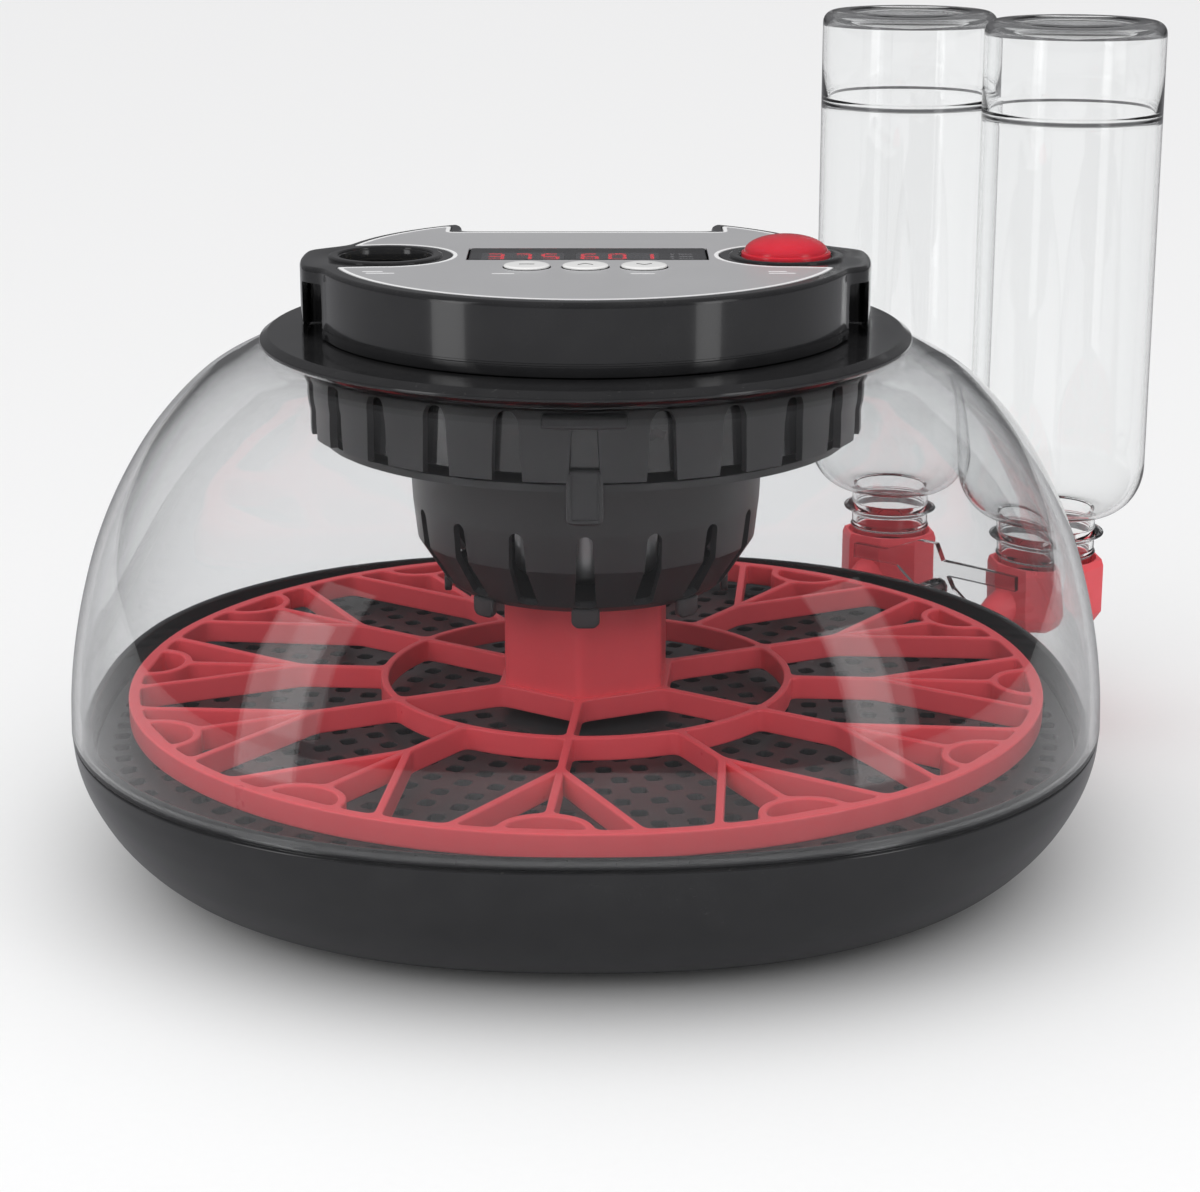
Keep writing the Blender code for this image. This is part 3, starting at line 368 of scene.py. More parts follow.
def plate(skin, outer, holes, low, high, edge=0.4, steps=3):
    """Sheet with holes: each outline is carried round a rounded section, then both faces are filled."""
    outlines = [anticlockwise(outer)] + [anticlockwise(hole)[::-1] for hole in holes]
    section = rounded_section(low, high, edge, steps)
    unders, tops = [], []
    for outline in outlines:
        rows = [np.column_stack([shift(outline, inset), np.full(len(outline), z)]) for inset, z in section]
        numbers = skin.add(np.stack(rows))
        skin.weave(numbers)
        unders.append(numbers[0])
        tops.append(numbers[-1])
    skin.fill(unders, up=False)
    skin.fill(tops, up=True)
    return skin


def pierced(skin, outer, inner, kept):
    """Wall between two (rows, columns, 3) grids, without the cells that kept leaves out.

    Columns wrap round. Cell (r, c) lies between grid rows r, r + 1 and columns c, c + 1.
    """
    outside, inside = skin.add(outer), skin.add(inner)
    right = np.roll(np.arange(kept.shape[1]), -1)

    def corners(numbers):
        return (numbers[:-1], numbers[:-1][:, right], numbers[1:][:, right], numbers[1:])

    out, back = corners(outside), corners(inside)
    skin.faces += np.stack([c[kept] for c in out], axis=-1).tolist()
    skin.faces += np.stack([c[kept] for c in back[::-1]], axis=-1).tolist()
    solid = np.pad(kept, ((1, 1), (0, 0)))
    beside = (solid[:-2], np.roll(kept, -1, axis=1), solid[2:], np.roll(kept, 1, axis=1))
    for i, neighbour in enumerate(beside):
        bare = kept & ~neighbour
        j = (i + 1) % 4
        wall = (out[j][bare], out[i][bare], back[i][bare], back[j][bare])
        skin.faces += np.stack(wall, axis=-1).tolist()
    return skin


def rounded_edges(piece, width, segments=3, angle=40.0):
    """Bevel on the piece's sharp edges."""
    bevel = piece.modifiers.new("edges", "BEVEL")
    bevel.width = width * MM
    bevel.segments = segments
    bevel.limit_method = "ANGLE"
    bevel.angle_limit = np.radians(angle)
    bevel.harden_normals = False
    return piece


def softened(node, material, body, width=0.35, segments=3):
    """A copy of a faceted node with its flat areas joined up and its edges rounded."""
    work = bmesh.new()
    work.from_mesh(frame["nodes"][node].data)
    bmesh.ops.remove_doubles(work, verts=work.verts, dist=1e-5)
    bmesh.ops.dissolve_limit(work, angle_limit=np.radians(1.5), verts=work.verts, edges=work.edges)
    mesh = bpy.data.meshes.new(node + "_moulding")
    work.to_mesh(mesh)
    work.free()
    mesh.shade_smooth()
    mesh.set_sharp_from_angle(angle=np.radians(32.0))
    mesh.materials.clear()
    mesh.materials.append(material)
    piece = bpy.data.objects.new(node + "_moulding", mesh)
    bpy.context.scene.collection.objects.link(piece)
    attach(piece, body)
    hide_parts(node)
    return rounded_edges(piece, width, segments, 25.0)


# ---------------------------------------------------------------- shader groups

def new_group(name, inputs, outputs):
    """An empty shader node group with named sockets; inputs give (name, kind, default)."""
    group = bpy.data.node_groups.new(name, "ShaderNodeTree")
    for label, kind, default in inputs:
        socket = group.interface.new_socket(label, in_out="INPUT", socket_type=kind)
        socket.default_value = default
    for label, kind in outputs:
        group.interface.new_socket(label, in_out="OUTPUT", socket_type=kind)
    return group, group.nodes.new("NodeGroupInput"), group.nodes.new("NodeGroupOutput")


class Board:
    """Short ways to place and join the nodes of one tree."""

    def __init__(self, tree):
        self.tree = tree

    def node(self, kind, links=None, **values):
        """Add a node; values set its properties, links feed its inputs with sockets or numbers."""
        made = self.tree.nodes.new(kind)
        for key, value in values.items():
            setattr(made, key, value)
        for key, source in (links or {}).items():
            if isinstance(source, bpy.types.NodeSocket):
                self.tree.links.new(source, made.inputs[key])
            else:
                made.inputs[key].default_value = source
        return made

    def math(self, operation, a, b=0.0, clamp=False):
        return self.node("ShaderNodeMath", {0: a, 1: b}, operation=operation, use_clamp=clamp).outputs[0]

    def spread(self, value, low, high, new_low=0.0, new_high=1.0):
        """Map a value from low..high to new_low..new_high, clamped."""
        links = {"Value": value, "From Min": low, "From Max": high, "To Min": new_low, "To Max": new_high}
        return self.node("ShaderNodeMapRange", links).outputs[0]

    def mix(self, share, first, second):
        made = self.node("ShaderNodeMix", {0: share, 6: first, 7: second}, data_type="RGBA")
        return made.outputs[2]

    def noise(self, scale, detail=3.0, roughness=0.5, vector=None):
        links = {"Scale": scale, "Detail": detail, "Roughness": roughness}
        if vector is not None:
            links["Vector"] = vector
        return self.node("ShaderNodeTexNoise", links).outputs["Fac"]


def grain_group():
    """Moulded skin: fine pebble grain plus slow sink waves, and roughness that follows both."""
    group, come, leave = new_group(
        "moulded_grain",
        (("Grain Scale", "NodeSocketFloat", 2200.0), ("Wave Scale", "NodeSocketFloat", 30.0),
         ("Wave Share", "NodeSocketFloat", 0.3), ("Roughness", "NodeSocketFloat", 0.3),
         ("Roughness Spread", "NodeSocketFloat", 0.05)),
        (("Height", "NodeSocketFloat"), ("Roughness", "NodeSocketFloat"), ("Tone", "NodeSocketFloat")))
    board = Board(group)
    place = board.node("ShaderNodeTexCoord").outputs["Object"]
    pebble = board.noise(come.outputs["Grain Scale"], 2.0, 0.6, place)
    wave = board.noise(come.outputs["Wave Scale"], 2.0, 0.5, place)
    patch = board.noise(board.math("MULTIPLY", come.outputs["Wave Scale"], 3.1), 3.0, 0.6, place)
    lifted = board.math("MULTIPLY", wave, come.outputs["Wave Share"])
    board.tree.links.new(board.math("ADD", pebble, lifted), leave.inputs["Height"])
    drift = board.math("MULTIPLY", board.math("SUBTRACT", patch, 0.5), come.outputs["Roughness Spread"])
    rough = board.math("ADD", come.outputs["Roughness"], board.math("MULTIPLY", drift, 2.0), clamp=True)
    board.tree.links.new(rough, leave.inputs["Roughness"])
    board.tree.links.new(patch, leave.inputs["Tone"])
    return group


def scratch_group():
    """Hairline handling marks: two stretched noises, thresholded so that only thin streaks remain."""
    group, come, leave = new_group(
        "handling_marks",
        (("Scale", "NodeSocketFloat", 160.0), ("Amount", "NodeSocketFloat", 0.3)),
        (("Mask", "NodeSocketFloat"),))
    board = Board(group)
    place = board.node("ShaderNodeTexCoord").outputs["Object"]
    streaks = []
    for turned, stretch in (((0.0, 0.3, 0.7), (1.0, 26.0, 9.0)), ((0.4, 0.0, -0.9), (30.0, 1.0, 8.0))):
        mapped = board.node("ShaderNodeMapping", {"Vector": place, "Rotation": turned, "Scale": stretch})
        fine = board.noise(come.outputs["Scale"], 2.0, 0.5, mapped.outputs[0])
        streaks.append(board.spread(fine, 0.70, 0.76))
    both = board.math("MAXIMUM", *streaks)
    patch = board.spread(board.noise(22.0, 2.0, 0.5, place), 0.5, 0.65)
    mask = board.math("MULTIPLY", board.math("MULTIPLY", both, patch), come.outputs["Amount"], clamp=True)
    board.tree.links.new(mask, leave.inputs["Mask"])
    return group


def dust_group():
    """Settled dust: strongest where the surface faces up, broken up by noise."""
    group, come, leave = new_group(
        "settled_dust",
        (("Amount", "NodeSocketFloat", 0.1), ("Speck Scale", "NodeSocketFloat", 900.0)),
        (("Mask", "NodeSocketFloat"),))
    board = Board(group)
    place = board.node("ShaderNodeTexCoord").outputs["Object"]
    facing = board.node("ShaderNodeSeparateXYZ", {0: board.node("ShaderNodeNewGeometry").outputs["Normal"]})
    level = board.spread(facing.outputs["Z"], 0.3, 1.0)
    haze = board.spread(board.noise(40.0, 4.0, 0.6, place), 0.35, 0.75)
    speck = board.spread(board.noise(come.outputs["Speck Scale"], 1.0, 0.5, place), 0.68, 0.74)
    cover = board.math("ADD", board.math("MULTIPLY", haze, 0.5), speck)
    mask = board.math("MULTIPLY", board.math("MULTIPLY", level, cover), come.outputs["Amount"], clamp=True)
    board.tree.links.new(mask, leave.inputs["Mask"])
    return group


def flow_group():
    """Slow ripples of blown or moulded clear plastic, stretched along the draw direction."""
    group, come, leave = new_group(
        "moulding_flow",
        (("Scale", "NodeSocketFloat", 18.0), ("Stretch", "NodeSocketFloat", 0.3)),
        (("Height", "NodeSocketFloat"),))
    board = Board(group)
    place = board.node("ShaderNodeTexCoord").outputs["Object"]
    draw = board.node("ShaderNodeCombineXYZ", {0: 1.0, 1: 1.0, 2: come.outputs["Stretch"]})
    mapped = board.node("ShaderNodeMapping", {"Vector": place, "Scale": draw.outputs[0]})
    height = board.noise(come.outputs["Scale"], 2.0, 0.4, mapped.outputs[0])
    board.tree.links.new(height, leave.inputs["Height"])
    return group


# painted shade: facing value from which clear plastic's colour darkens, and how dark it gets at the rim
RIM_PAINTED_SHADE = (0.72, 0.75)       # clear plastic darkens from this facing value, by this much at the rim
GRAIN, MARKS, DUST, FLOW = grain_group(), scratch_group(), dust_group(), flow_group()


# ---------------------------------------------------------------- finishes

def blank(name):
    """A material with its Principled shader and a board for its tree."""
    material = bpy.data.materials.new(name)
    material.use_nodes = True
    return material, material.node_tree.nodes["Principled BSDF"], Board(material.node_tree)


def placed(board, group, **values):
    """One group in this material, with its own values."""
    made = board.node("ShaderNodeGroup", None, node_tree=group)
    for key, value in values.items():
        made.inputs[key.replace("_", " ")].default_value = value
    return made


def moulded(name, colour, roughness, grain=2200.0, depth=0.02, wave=0.3, spread=0.05, tone=0.08,
            marks=0.25, dust=0.06, coat=0.0, subsurface=0.0):
    """Opaque moulded plastic: grain bump, uneven gloss, hairline marks and a little dust."""
    material, shader, board = blank(name)
    skin = placed(board, GRAIN, Grain_Scale=grain, Wave_Share=wave, Roughness=roughness,
                  Roughness_Spread=spread)
    lines = placed(board, MARKS, Amount=marks)
    film = placed(board, DUST, Amount=dust)
    paler = tuple(min(1.0, c * (1.0 + tone) + 0.01) for c in colour)
    darker = tuple(c * (1.0 - tone) for c in colour)
    base = board.mix(skin.outputs["Tone"], (*darker, 1.0), (*paler, 1.0))
    rubbed = board.mix(lines.outputs["Mask"], base, (*(0.5 * c + 0.12 for c in colour), 1.0))
    dusty = board.mix(film.outputs["Mask"], rubbed, (0.55, 0.53, 0.5, 1.0))
    board.tree.links.new(dusty, shader.inputs["Base Color"])
    dull = board.math("ADD", lines.outputs["Mask"], film.outputs["Mask"])
    rough = board.math("ADD", skin.outputs["Roughness"], board.math("MULTIPLY", dull, 0.4), clamp=True)
    board.tree.links.new(rough, shader.inputs["Roughness"])
    bump = board.node("ShaderNodeBump", {"Strength": 1.0, "Distance": depth * MM,
                                         "Height": skin.outputs["Height"]})
    board.tree.links.new(bump.outputs[0], shader.inputs["Normal"])
    shader.inputs["IOR"].default_value = 1.5
    shader.inputs["Coat Weight"].default_value = coat
    shader.inputs["Coat Roughness"].default_value = 0.05
    shader.inputs["Subsurface Weight"].default_value = subsurface
    shader.inputs["Subsurface Scale"].default_value = 2.0 * MM
    return material


def clear(name, tint, roughness, depth, scale, stretch=0.3, ior=1.49, marks=0.15):
    """Clear plastic: real refraction with slow ripples; painted shade darkens its colour towards the grazing
    rim; lamps shine straight through it.
    """
    material, shader, board = blank(name)
    # painted shade: the colour turns dark grey towards the grazing rim, in place of dark refracted edges
    rim = board.node("ShaderNodeLayerWeight", {"Blend": 0.5}).outputs["Facing"]
    edge = board.spread(rim, RIM_PAINTED_SHADE[0], 1.0, 0.0, RIM_PAINTED_SHADE[1])
    body = board.mix(edge, (*tint, 1.0), (0.12, 0.12, 0.125, 1.0))
    board.tree.links.new(body, shader.inputs["Base Color"])
    shader.inputs["Transmission Weight"].default_value = 1.0
    shader.inputs["IOR"].default_value = ior
    lines = placed(board, MARKS, Scale=120.0, Amount=marks)
    rough = board.math("ADD", roughness, board.math("MULTIPLY", lines.outputs["Mask"], 0.25))
    board.tree.links.new(rough, shader.inputs["Roughness"])
    ripple = placed(board, FLOW, Scale=scale, Stretch=stretch)
    bump = board.node("ShaderNodeBump", {"Strength": 1.0, "Distance": depth * MM,
                                         "Height": ripple.outputs["Height"]})
    board.tree.links.new(bump.outputs[0], shader.inputs["Normal"])
    through = board.node("ShaderNodeBsdfTransparent", {"Color": (*(0.5 + 0.5 * c for c in tint), 1.0)})
    path = board.node("ShaderNodeLightPath")
    blend = board.node("ShaderNodeMixShader", {0: path.outputs["Is Shadow Ray"], 1: shader.outputs[0],
                                               2: through.outputs[0]})
    output = material.node_tree.nodes["Material Output"]
    board.tree.links.new(blend.outputs[0], output.inputs["Surface"])
    return material


def brushed(name, colour, roughness, metallic, direction, scale=900.0, depth=0.01, spread=0.12):
    """Metal or foil drawn in one direction: long streaks in gloss, tone and bump."""
    material, shader, board = blank(name)
    place = board.node("ShaderNodeTexCoord").outputs["Object"]
    mapped = board.node("ShaderNodeMapping", {"Vector": place, "Scale": direction}).outputs[0]
    streak = board.noise(scale, 3.0, 0.6, mapped)
    cloud = board.noise(35.0, 3.0, 0.5, place)
    tone = board.math("ADD", board.math("MULTIPLY", streak, 0.6), board.math("MULTIPLY", cloud, 0.4))
    dark = tuple(0.86 * c for c in colour)
    board.tree.links.new(board.mix(tone, (*dark, 1.0), (*colour, 1.0)), shader.inputs["Base Color"])
    board.tree.links.new(board.spread(tone, 0.2, 0.8, roughness, roughness + spread),
                         shader.inputs["Roughness"])
    shader.inputs["Metallic"].default_value = metallic
    bump = board.node("ShaderNodeBump", {"Strength": 1.0, "Distance": depth * MM, "Height": streak})
    board.tree.links.new(bump.outputs[0], shader.inputs["Normal"])
    return material


def circuit_board():
    """Green lacquered laminate with pale copper tracks and a fine weave."""
    material, shader, board = blank("circuit_laminate")
    place = board.node("ShaderNodeTexCoord").outputs["Object"]
    blocks = board.node("ShaderNodeTexBrick", {"Vector": place, "Scale": 120.0, "Mortar Size": 0.03,
                                               "Color1": (0.01, 0.10, 0.04, 1),
                                               "Color2": (0.012, 0.13, 0.05, 1),
                                               "Mortar": (0.05, 0.28, 0.12, 1)})
    weave = board.noise(3000.0, 1.0, 0.5, place)
    base = board.mix(board.math("MULTIPLY", weave, 0.3), blocks.outputs["Color"], (0.02, 0.2, 0.09, 1.0))
    board.tree.links.new(base, shader.inputs["Base Color"])
    board.tree.links.new(board.spread(weave, 0.3, 0.7, 0.22, 0.34), shader.inputs["Roughness"])
    bump = board.node("ShaderNodeBump", {"Strength": 1.0, "Distance": 0.03 * MM,
                                         "Height": blocks.outputs["Fac"]})
    board.tree.links.new(bump.outputs[0], shader.inputs["Normal"])
    return material


def glowing(name, colour, strength, roughness=0.4):
    """Lit plastic: a mottled emitter under a slightly rough face."""
    material, shader, board = blank(name)
    place = board.node("ShaderNodeTexCoord").outputs["Object"]
    cloud = board.noise(700.0, 2.0, 0.5, place)
    dim = tuple(0.72 * c for c in colour)
    lit = board.mix(cloud, (*dim, 1.0), (*colour, 1.0))
    board.tree.links.new(lit, shader.inputs["Base Color"])
    board.tree.links.new(lit, shader.inputs["Emission Color"])
    board.tree.links.new(board.spread(cloud, 0.2, 0.8, roughness - 0.08, roughness + 0.08),
                         shader.inputs["Roughness"])
    shader.inputs["Emission Strength"].default_value = strength
    return material


gloss_black = moulded("gloss_black_abs", (0.012, 0.012, 0.013), 0.13, grain=900.0, depth=0.002, wave=1.5,
                      spread=0.03, marks=0.12, dust=0.03, coat=0.4)
satin_black = moulded("satin_black_abs", (0.034, 0.034, 0.036), 0.36, grain=2600.0, depth=0.012,
                      spread=0.08, marks=0.2, dust=0.05)
coral_red = moulded("coral_red_plastic", (0.88, 0.1, 0.12), 0.3, grain=1800.0, depth=0.008, wave=0.6,
                    spread=0.06, tone=0.05, marks=0.15, dust=0.02, subsurface=0.12)
lamp_red = moulded("red_lamp_cap", (0.62, 0.02, 0.04), 0.2, grain=1500.0, depth=0.004, tone=0.05, marks=0.1,
                   dust=0.02, coat=0.3, subsurface=0.35)
rubber = moulded("black_rubber", (0.02, 0.02, 0.02), 0.68, grain=2400.0, depth=0.03, spread=0.1, marks=0.1,
                 dust=0.15)
white_plastic = moulded("white_key_plastic", (0.84, 0.84, 0.83), 0.3, grain=2600.0, depth=0.004, tone=0.02,
                        marks=0.1, dust=0.0)
dark_print = moulded("dark_key_print", (0.05, 0.05, 0.055), 0.4, grain=3000.0, depth=0.004)
white_print = moulded("white_print", (0.86, 0.86, 0.86), 0.45, grain=3000.0, depth=0.004, tone=0.02,
                      marks=0.2, dust=0.0)
display_face = moulded("display_face", (0.03, 0.03, 0.033), 0.25, grain=1500.0, depth=0.004)
display_grey = moulded("display_grey_film", (0.17, 0.17, 0.18), 0.3, grain=1500.0, depth=0.004)
label_foil = brushed("silver_label_foil", (0.62, 0.62, 0.63), 0.34, 0.35, (1.0, 30.0, 30.0))
steel = brushed("drawn_steel", (0.56, 0.56, 0.57), 0.26, 1.0, (30.0, 30.0, 1.5))
dome_clear = clear("clear_dome_acrylic", (0.95, 0.955, 0.96), 0.012, 0.05, 16.0)
bottle_clear = clear("clear_bottle_pet", (0.985, 0.99, 0.99), 0.01, 0.06, 30.0, 0.12, 1.45)
bracket_clear = clear("clear_bracket_acrylic", (0.97, 0.97, 0.97), 0.03, 0.03, 60.0)
lens_clear = clear("candling_lens_clear", (0.96, 0.96, 0.94), 0.08, 0.03, 120.0)
pane_tinted = clear("tinted_display_pane", (0.72, 0.72, 0.74), 0.02, 0.01, 60.0)
laminate = circuit_board()
lit_red = glowing("lit_red_segments", (0.9, 0.03, 0.05), 2.2)
lit_lamp = glowing("candling_lamp_phosphor", (1.0, 0.86, 0.5), 1.6)


# ---------------------------------------------------------------- base

def base_surface():
    """Bowl, rest boss, water ring and spigot as one turned chain from axis to axis."""
    outside = flowing(((78.0, 2.5), (92.0, 2.5), (104.0, 4.2), (112.5, 7.6), (119.0, 12.5), (125.0, 19.5),
                       (129.4, 27.5), (131.5, 34.0), (132.2, 39.7)))
    inside = flowing(((122.6, 27.0), (120.8, 19.5), (115.5, 13.0), (108.0, 8.5), (99.0, 5.5), (88.0, 5.5)))
    parts = (
        fillet(((0.0, 0.0), (14.0, 0.0), (14.0, 2.5), (78.0, 2.5)), 0.5),
        outside[1:-1],
        fillet(((132.1, 38.6), (132.2, 39.7), (129.6, 39.7), (129.5, 42.2), (127.5, 42.2), (127.2, 32.7),
                (123.0, 32.7), (122.6, 27.0)), (0, 0.5, 0.2, 0.5, 0.5, 0.4, 0.8, 0), 4),
        inside[1:-1],
        fillet(((88.0, 5.5), (84.0, 5.5), (83.6, 16.0), (81.6, 16.0), (81.2, 5.5), (10.0, 5.5), (9.0, 31.5),
                (5.0, 31.5), (5.0, 39.0), (4.0, 40.0), (0.0, 40.0)),
               (0, 1.5, 0.6, 0.6, 1.5, 1.5, 0.5, 0.4, 0.3, 0.3, 0)))
    profile = np.vstack(parts)
    power = np.interp(profile[:, 0], (60.0, 95.0), (2.0, PLAN_POWER))
    ring_wall = (profile[:, 0] > 81.0) & (profile[:, 0] < 84.5) & (profile[:, 1] > 3.0)
    power[ring_wall] = 2.0
    skin = lathe(Skin(), profile, 288, shape=squared(power, 288))
    return skin.make("base_bowl", gloss_black, "base", "gloss_black", ["base_shell"])


def foot_surfaces():
    for corner in ("front_right", "rear_right", "rear_left", "front_left"):
        node = "foot_" + corner
        x, y, _ = middle(node)
        profile = fillet(((0.0, 0.0), (6.2, 0.0), (7.0, 0.8), (7.0, 2.2), (0.0, 2.2)), 0.4, 4)
        rings = fillet(((0.0, 0.35), (3.0, 0.35), (3.3, 0.0)), 0.1, 2)
        profile = np.vstack([rings, profile[1:]])
        lathe(Skin(), profile, 64, x, y).make(node + "_pad", rubber, "base", "soft_rubber", [node])


def grille_surface():
    """Floor sheet pierced by rows of small holes that follow the squared plan."""
    low, high = span("floor_grille")
    holes = [ring(11.6, 64)]
    half_wide, half_deep, pitch, step = 2.0, 2.0, 8.8, 7.7
    corner = np.array([(-1, -0.6), (-0.6, -1), (0.6, -1), (1, -0.6),
                       (1, 0.6), (0.6, 1), (-0.6, 1), (-1, 0.6)])
    for row, radius in enumerate(np.arange(120.5, 28.0, -step)):
        power = 2.0 + (PLAN_POWER - 2.0) * (radius / 126.6) ** 2
        count = int(round(2.0 * np.pi * radius / pitch / 4.0)) * 4
        turns = (np.arange(count) + 0.5 * (row % 2)) * 2.0 * np.pi / count
        turn = turns[:, None] + corner[:, 0] * half_wide / radius
        reach = plan_reach(turn, power) * (radius + corner[:, 1] * half_deep)
        holes += list(np.stack([reach * np.sin(turn), -reach * np.cos(turn)], axis=-1))
    skin = plate(Skin(), plan_ring(126.6, 288), holes, low[2], high[2], 0.3, 2)
    return skin.make("grille_sheet", satin_black, "base", "satin_black", ["floor_grille"])


# ---------------------------------------------------------------- turner

def turner_cells():
    """Openings of the turner: egg cells, the gaps inside each V, its loop, and the hub cells."""
    rim, apex_at, inner, rib = 117.5, 76.0, 53.0, 2.0
    leg, half, depth, units = 10.8, 5.1, 10.5, 12
    pitch = 360.0 / units
    width = rim * np.radians(half)
    cells = []
    for unit in range(units):
        turn = TURNER_PHASE + unit * pitch
        apex, following = arc(apex_at, turn, turn, 1), arc(apex_at, turn + pitch, turn + pitch, 1)
        egg = np.vstack([arc(inner, turn, turn + pitch, 24), following,
                         arc(rim, turn + pitch - leg, turn + leg, 16), apex])
        swing = np.radians(np.linspace(0.0, 180.0, 41))
        radius = rim - depth * np.sin(swing)
        at = np.radians(turn) - width * np.cos(swing) / radius
        loop = np.stack([radius * np.sin(at), -radius * np.cos(at)], axis=1)
        right = np.vstack([apex, loop[20:], arc(rim, turn + half, turn + leg, 8)[1:]])
        left = np.vstack([apex, arc(rim, turn - leg, turn - half, 8)[:-1], loop[:21]])
        cells += [egg, left, right, loop]
    for spoke in range(6):
        turn = TURNER_PHASE + spoke * 60.0
        cells.append(np.vstack([arc(inner, turn, turn + 60.0, 40), arc(24.1, turn + 60.0, turn, 2)]))
    return [even(stepped(even(anticlockwise(cell), 0.8), rib / 2.0, 0.1), 1.2, 0.7) for cell in cells]


def turner_surface():
    """Ribbed ring sheet with a rounded hexagonal tower, drive socket and collar."""
    high = span("turner_disc")[1]
    under, top = 38.3, 44.3
    skin = Skin()
    hub_hole = even(ring(22.6, 6, turn=TURNER_PHASE), 1.6, 0.6)
    plate(skin, ring(119.5, 360), turner_cells() + [hub_hole], under, top, 0.45, 3)
    chain = ((0.0, 42.0), (5.3, 42.0), (5.3, 31.8), (10.5, 31.8), (10.5, 57.1), (21.3, 57.1), (21.3, under),
             (23.5, under), (23.5, high[2]), (6.3, high[2]), (6.3, 59.3), (0.0, 59.3))
    profile = fillet(chain, (0, 0.2, 0.3, 0.3, 0.3, 0.8, 0.3, 0.3, 1.0, 0.5, 0.3, 0), 5)
    first_wide = int(np.argmax(profile[:, 0] > 15.0))
    hexagonal = (np.arange(len(profile)) >= first_wide).astype(float)
    lathe(skin, profile, 240, shape=hexed(hexagonal, 240), turn=TURNER_PHASE)
    return skin.make("turner_moulding", coral_red, "turner", "coral_red", ["turner_disc"])


# ---------------------------------------------------------------- dome

def dome_surface():
    """Clear cover: smooth outer and inner walls with rounded rims, squared only near the seam."""
    corners = ((132.3, 40.0), (131.9, 50.0), (130.6, 61.0), (128.2, 73.0), (124.4, 86.0), (118.6, 99.0),
               (110.4, 112.0), (99.5, 123.5), (89.5, 129.6), (81.0, 132.4), (73.0, 133.0))
    outer = flowing(corners, 10)
    inner = inward(outer, 2.3)
    inner[0] = (inner[0][0], 40.0)
    inner[-1] = (73.0, 130.7)
    loop = np.vstack([[(131.15, 40.0)], outer, inner[::-1]])
    size = np.zeros(len(loop))
    size[[1, len(outer), len(outer) + 1, len(loop) - 1]] = 0.5
    profile = fillet(np.vstack([loop, loop[:1]]), np.append(size, 0.0), 4, 0.0)[:-1]
    rise = np.clip((profile[:, 1] - 40.0) / 93.0, 0.0, 1.0)
    power = PLAN_POWER - (PLAN_POWER - 2.0) * rise ** 2
    skin = lathe(Skin(), profile, 320, shape=squared(power, 320), loop=True)
    return skin.make("dome_bubble", dome_clear, "dome", "clear_dome", ["dome_shell"], 45.0)


# ---------------------------------------------------------------- control head

def cover_outline():
    right = np.vstack([arc(68.0, 0.0, 73.0, 70), arc(72.0, 76.5, 98.0, 24), arc(64.3, 106.0, 147.0, 40),
                       [(33.6, 51.5), (33.6, 41.2)]])
    return even(mirrored(right), 0.9, 1.9)


def cavity_outline():
    right = np.vstack([arc(65.5, 0.0, 66.0, 40), [(63.0, -14.0), (63.0, 9.0)], arc(61.5, 102.0, 144.0, 30),
                       [(36.0, 38.9)]])
    return even(mirrored(right), 1.2, 1.3)


def label_outline():
    right = np.vstack([arc(64.0, 0.0, 73.5, 70), arc(SURROUND_RADIUS, 5.0, -190.0, 60, EYE_X),
                       arc(61.8, 104.5, 142.0, 30), [(36.4, 48.6), (36.4, 38.9)]])
    return even(mirrored(right), 0.8, 0.55)


def cut(piece, cutter):
    """Take the cutter's volume out of a piece for good."""
    change = piece.modifiers.new("cut", "BOOLEAN")
    change.operation = "DIFFERENCE"
    change.solver = "EXACT"
    change.object = cutter
    shaped = piece.evaluated_get(bpy.context.evaluated_depsgraph_get())
    mesh = bpy.data.meshes.new_from_object(shaped)
    piece.modifiers.remove(change)
    piece.data = mesh
    mesh.shade_smooth()
    mesh.set_sharp_from_angle(angle=np.radians(CREASE))
    bpy.data.objects.remove(cutter)


def cutting_block(outline, low, high):
    """A rounded block to cut with."""
    skin = plate(Skin(), outline, [], low, high, 0.4, 2)
    mesh = bpy.data.meshes.new("cutting_block")
    mesh.from_pydata((skin.points * MM).tolist(), [], skin.faces)
    block = bpy.data.objects.new("cutting_block", mesh)
    bpy.context.scene.collection.objects.link(block)
    return block


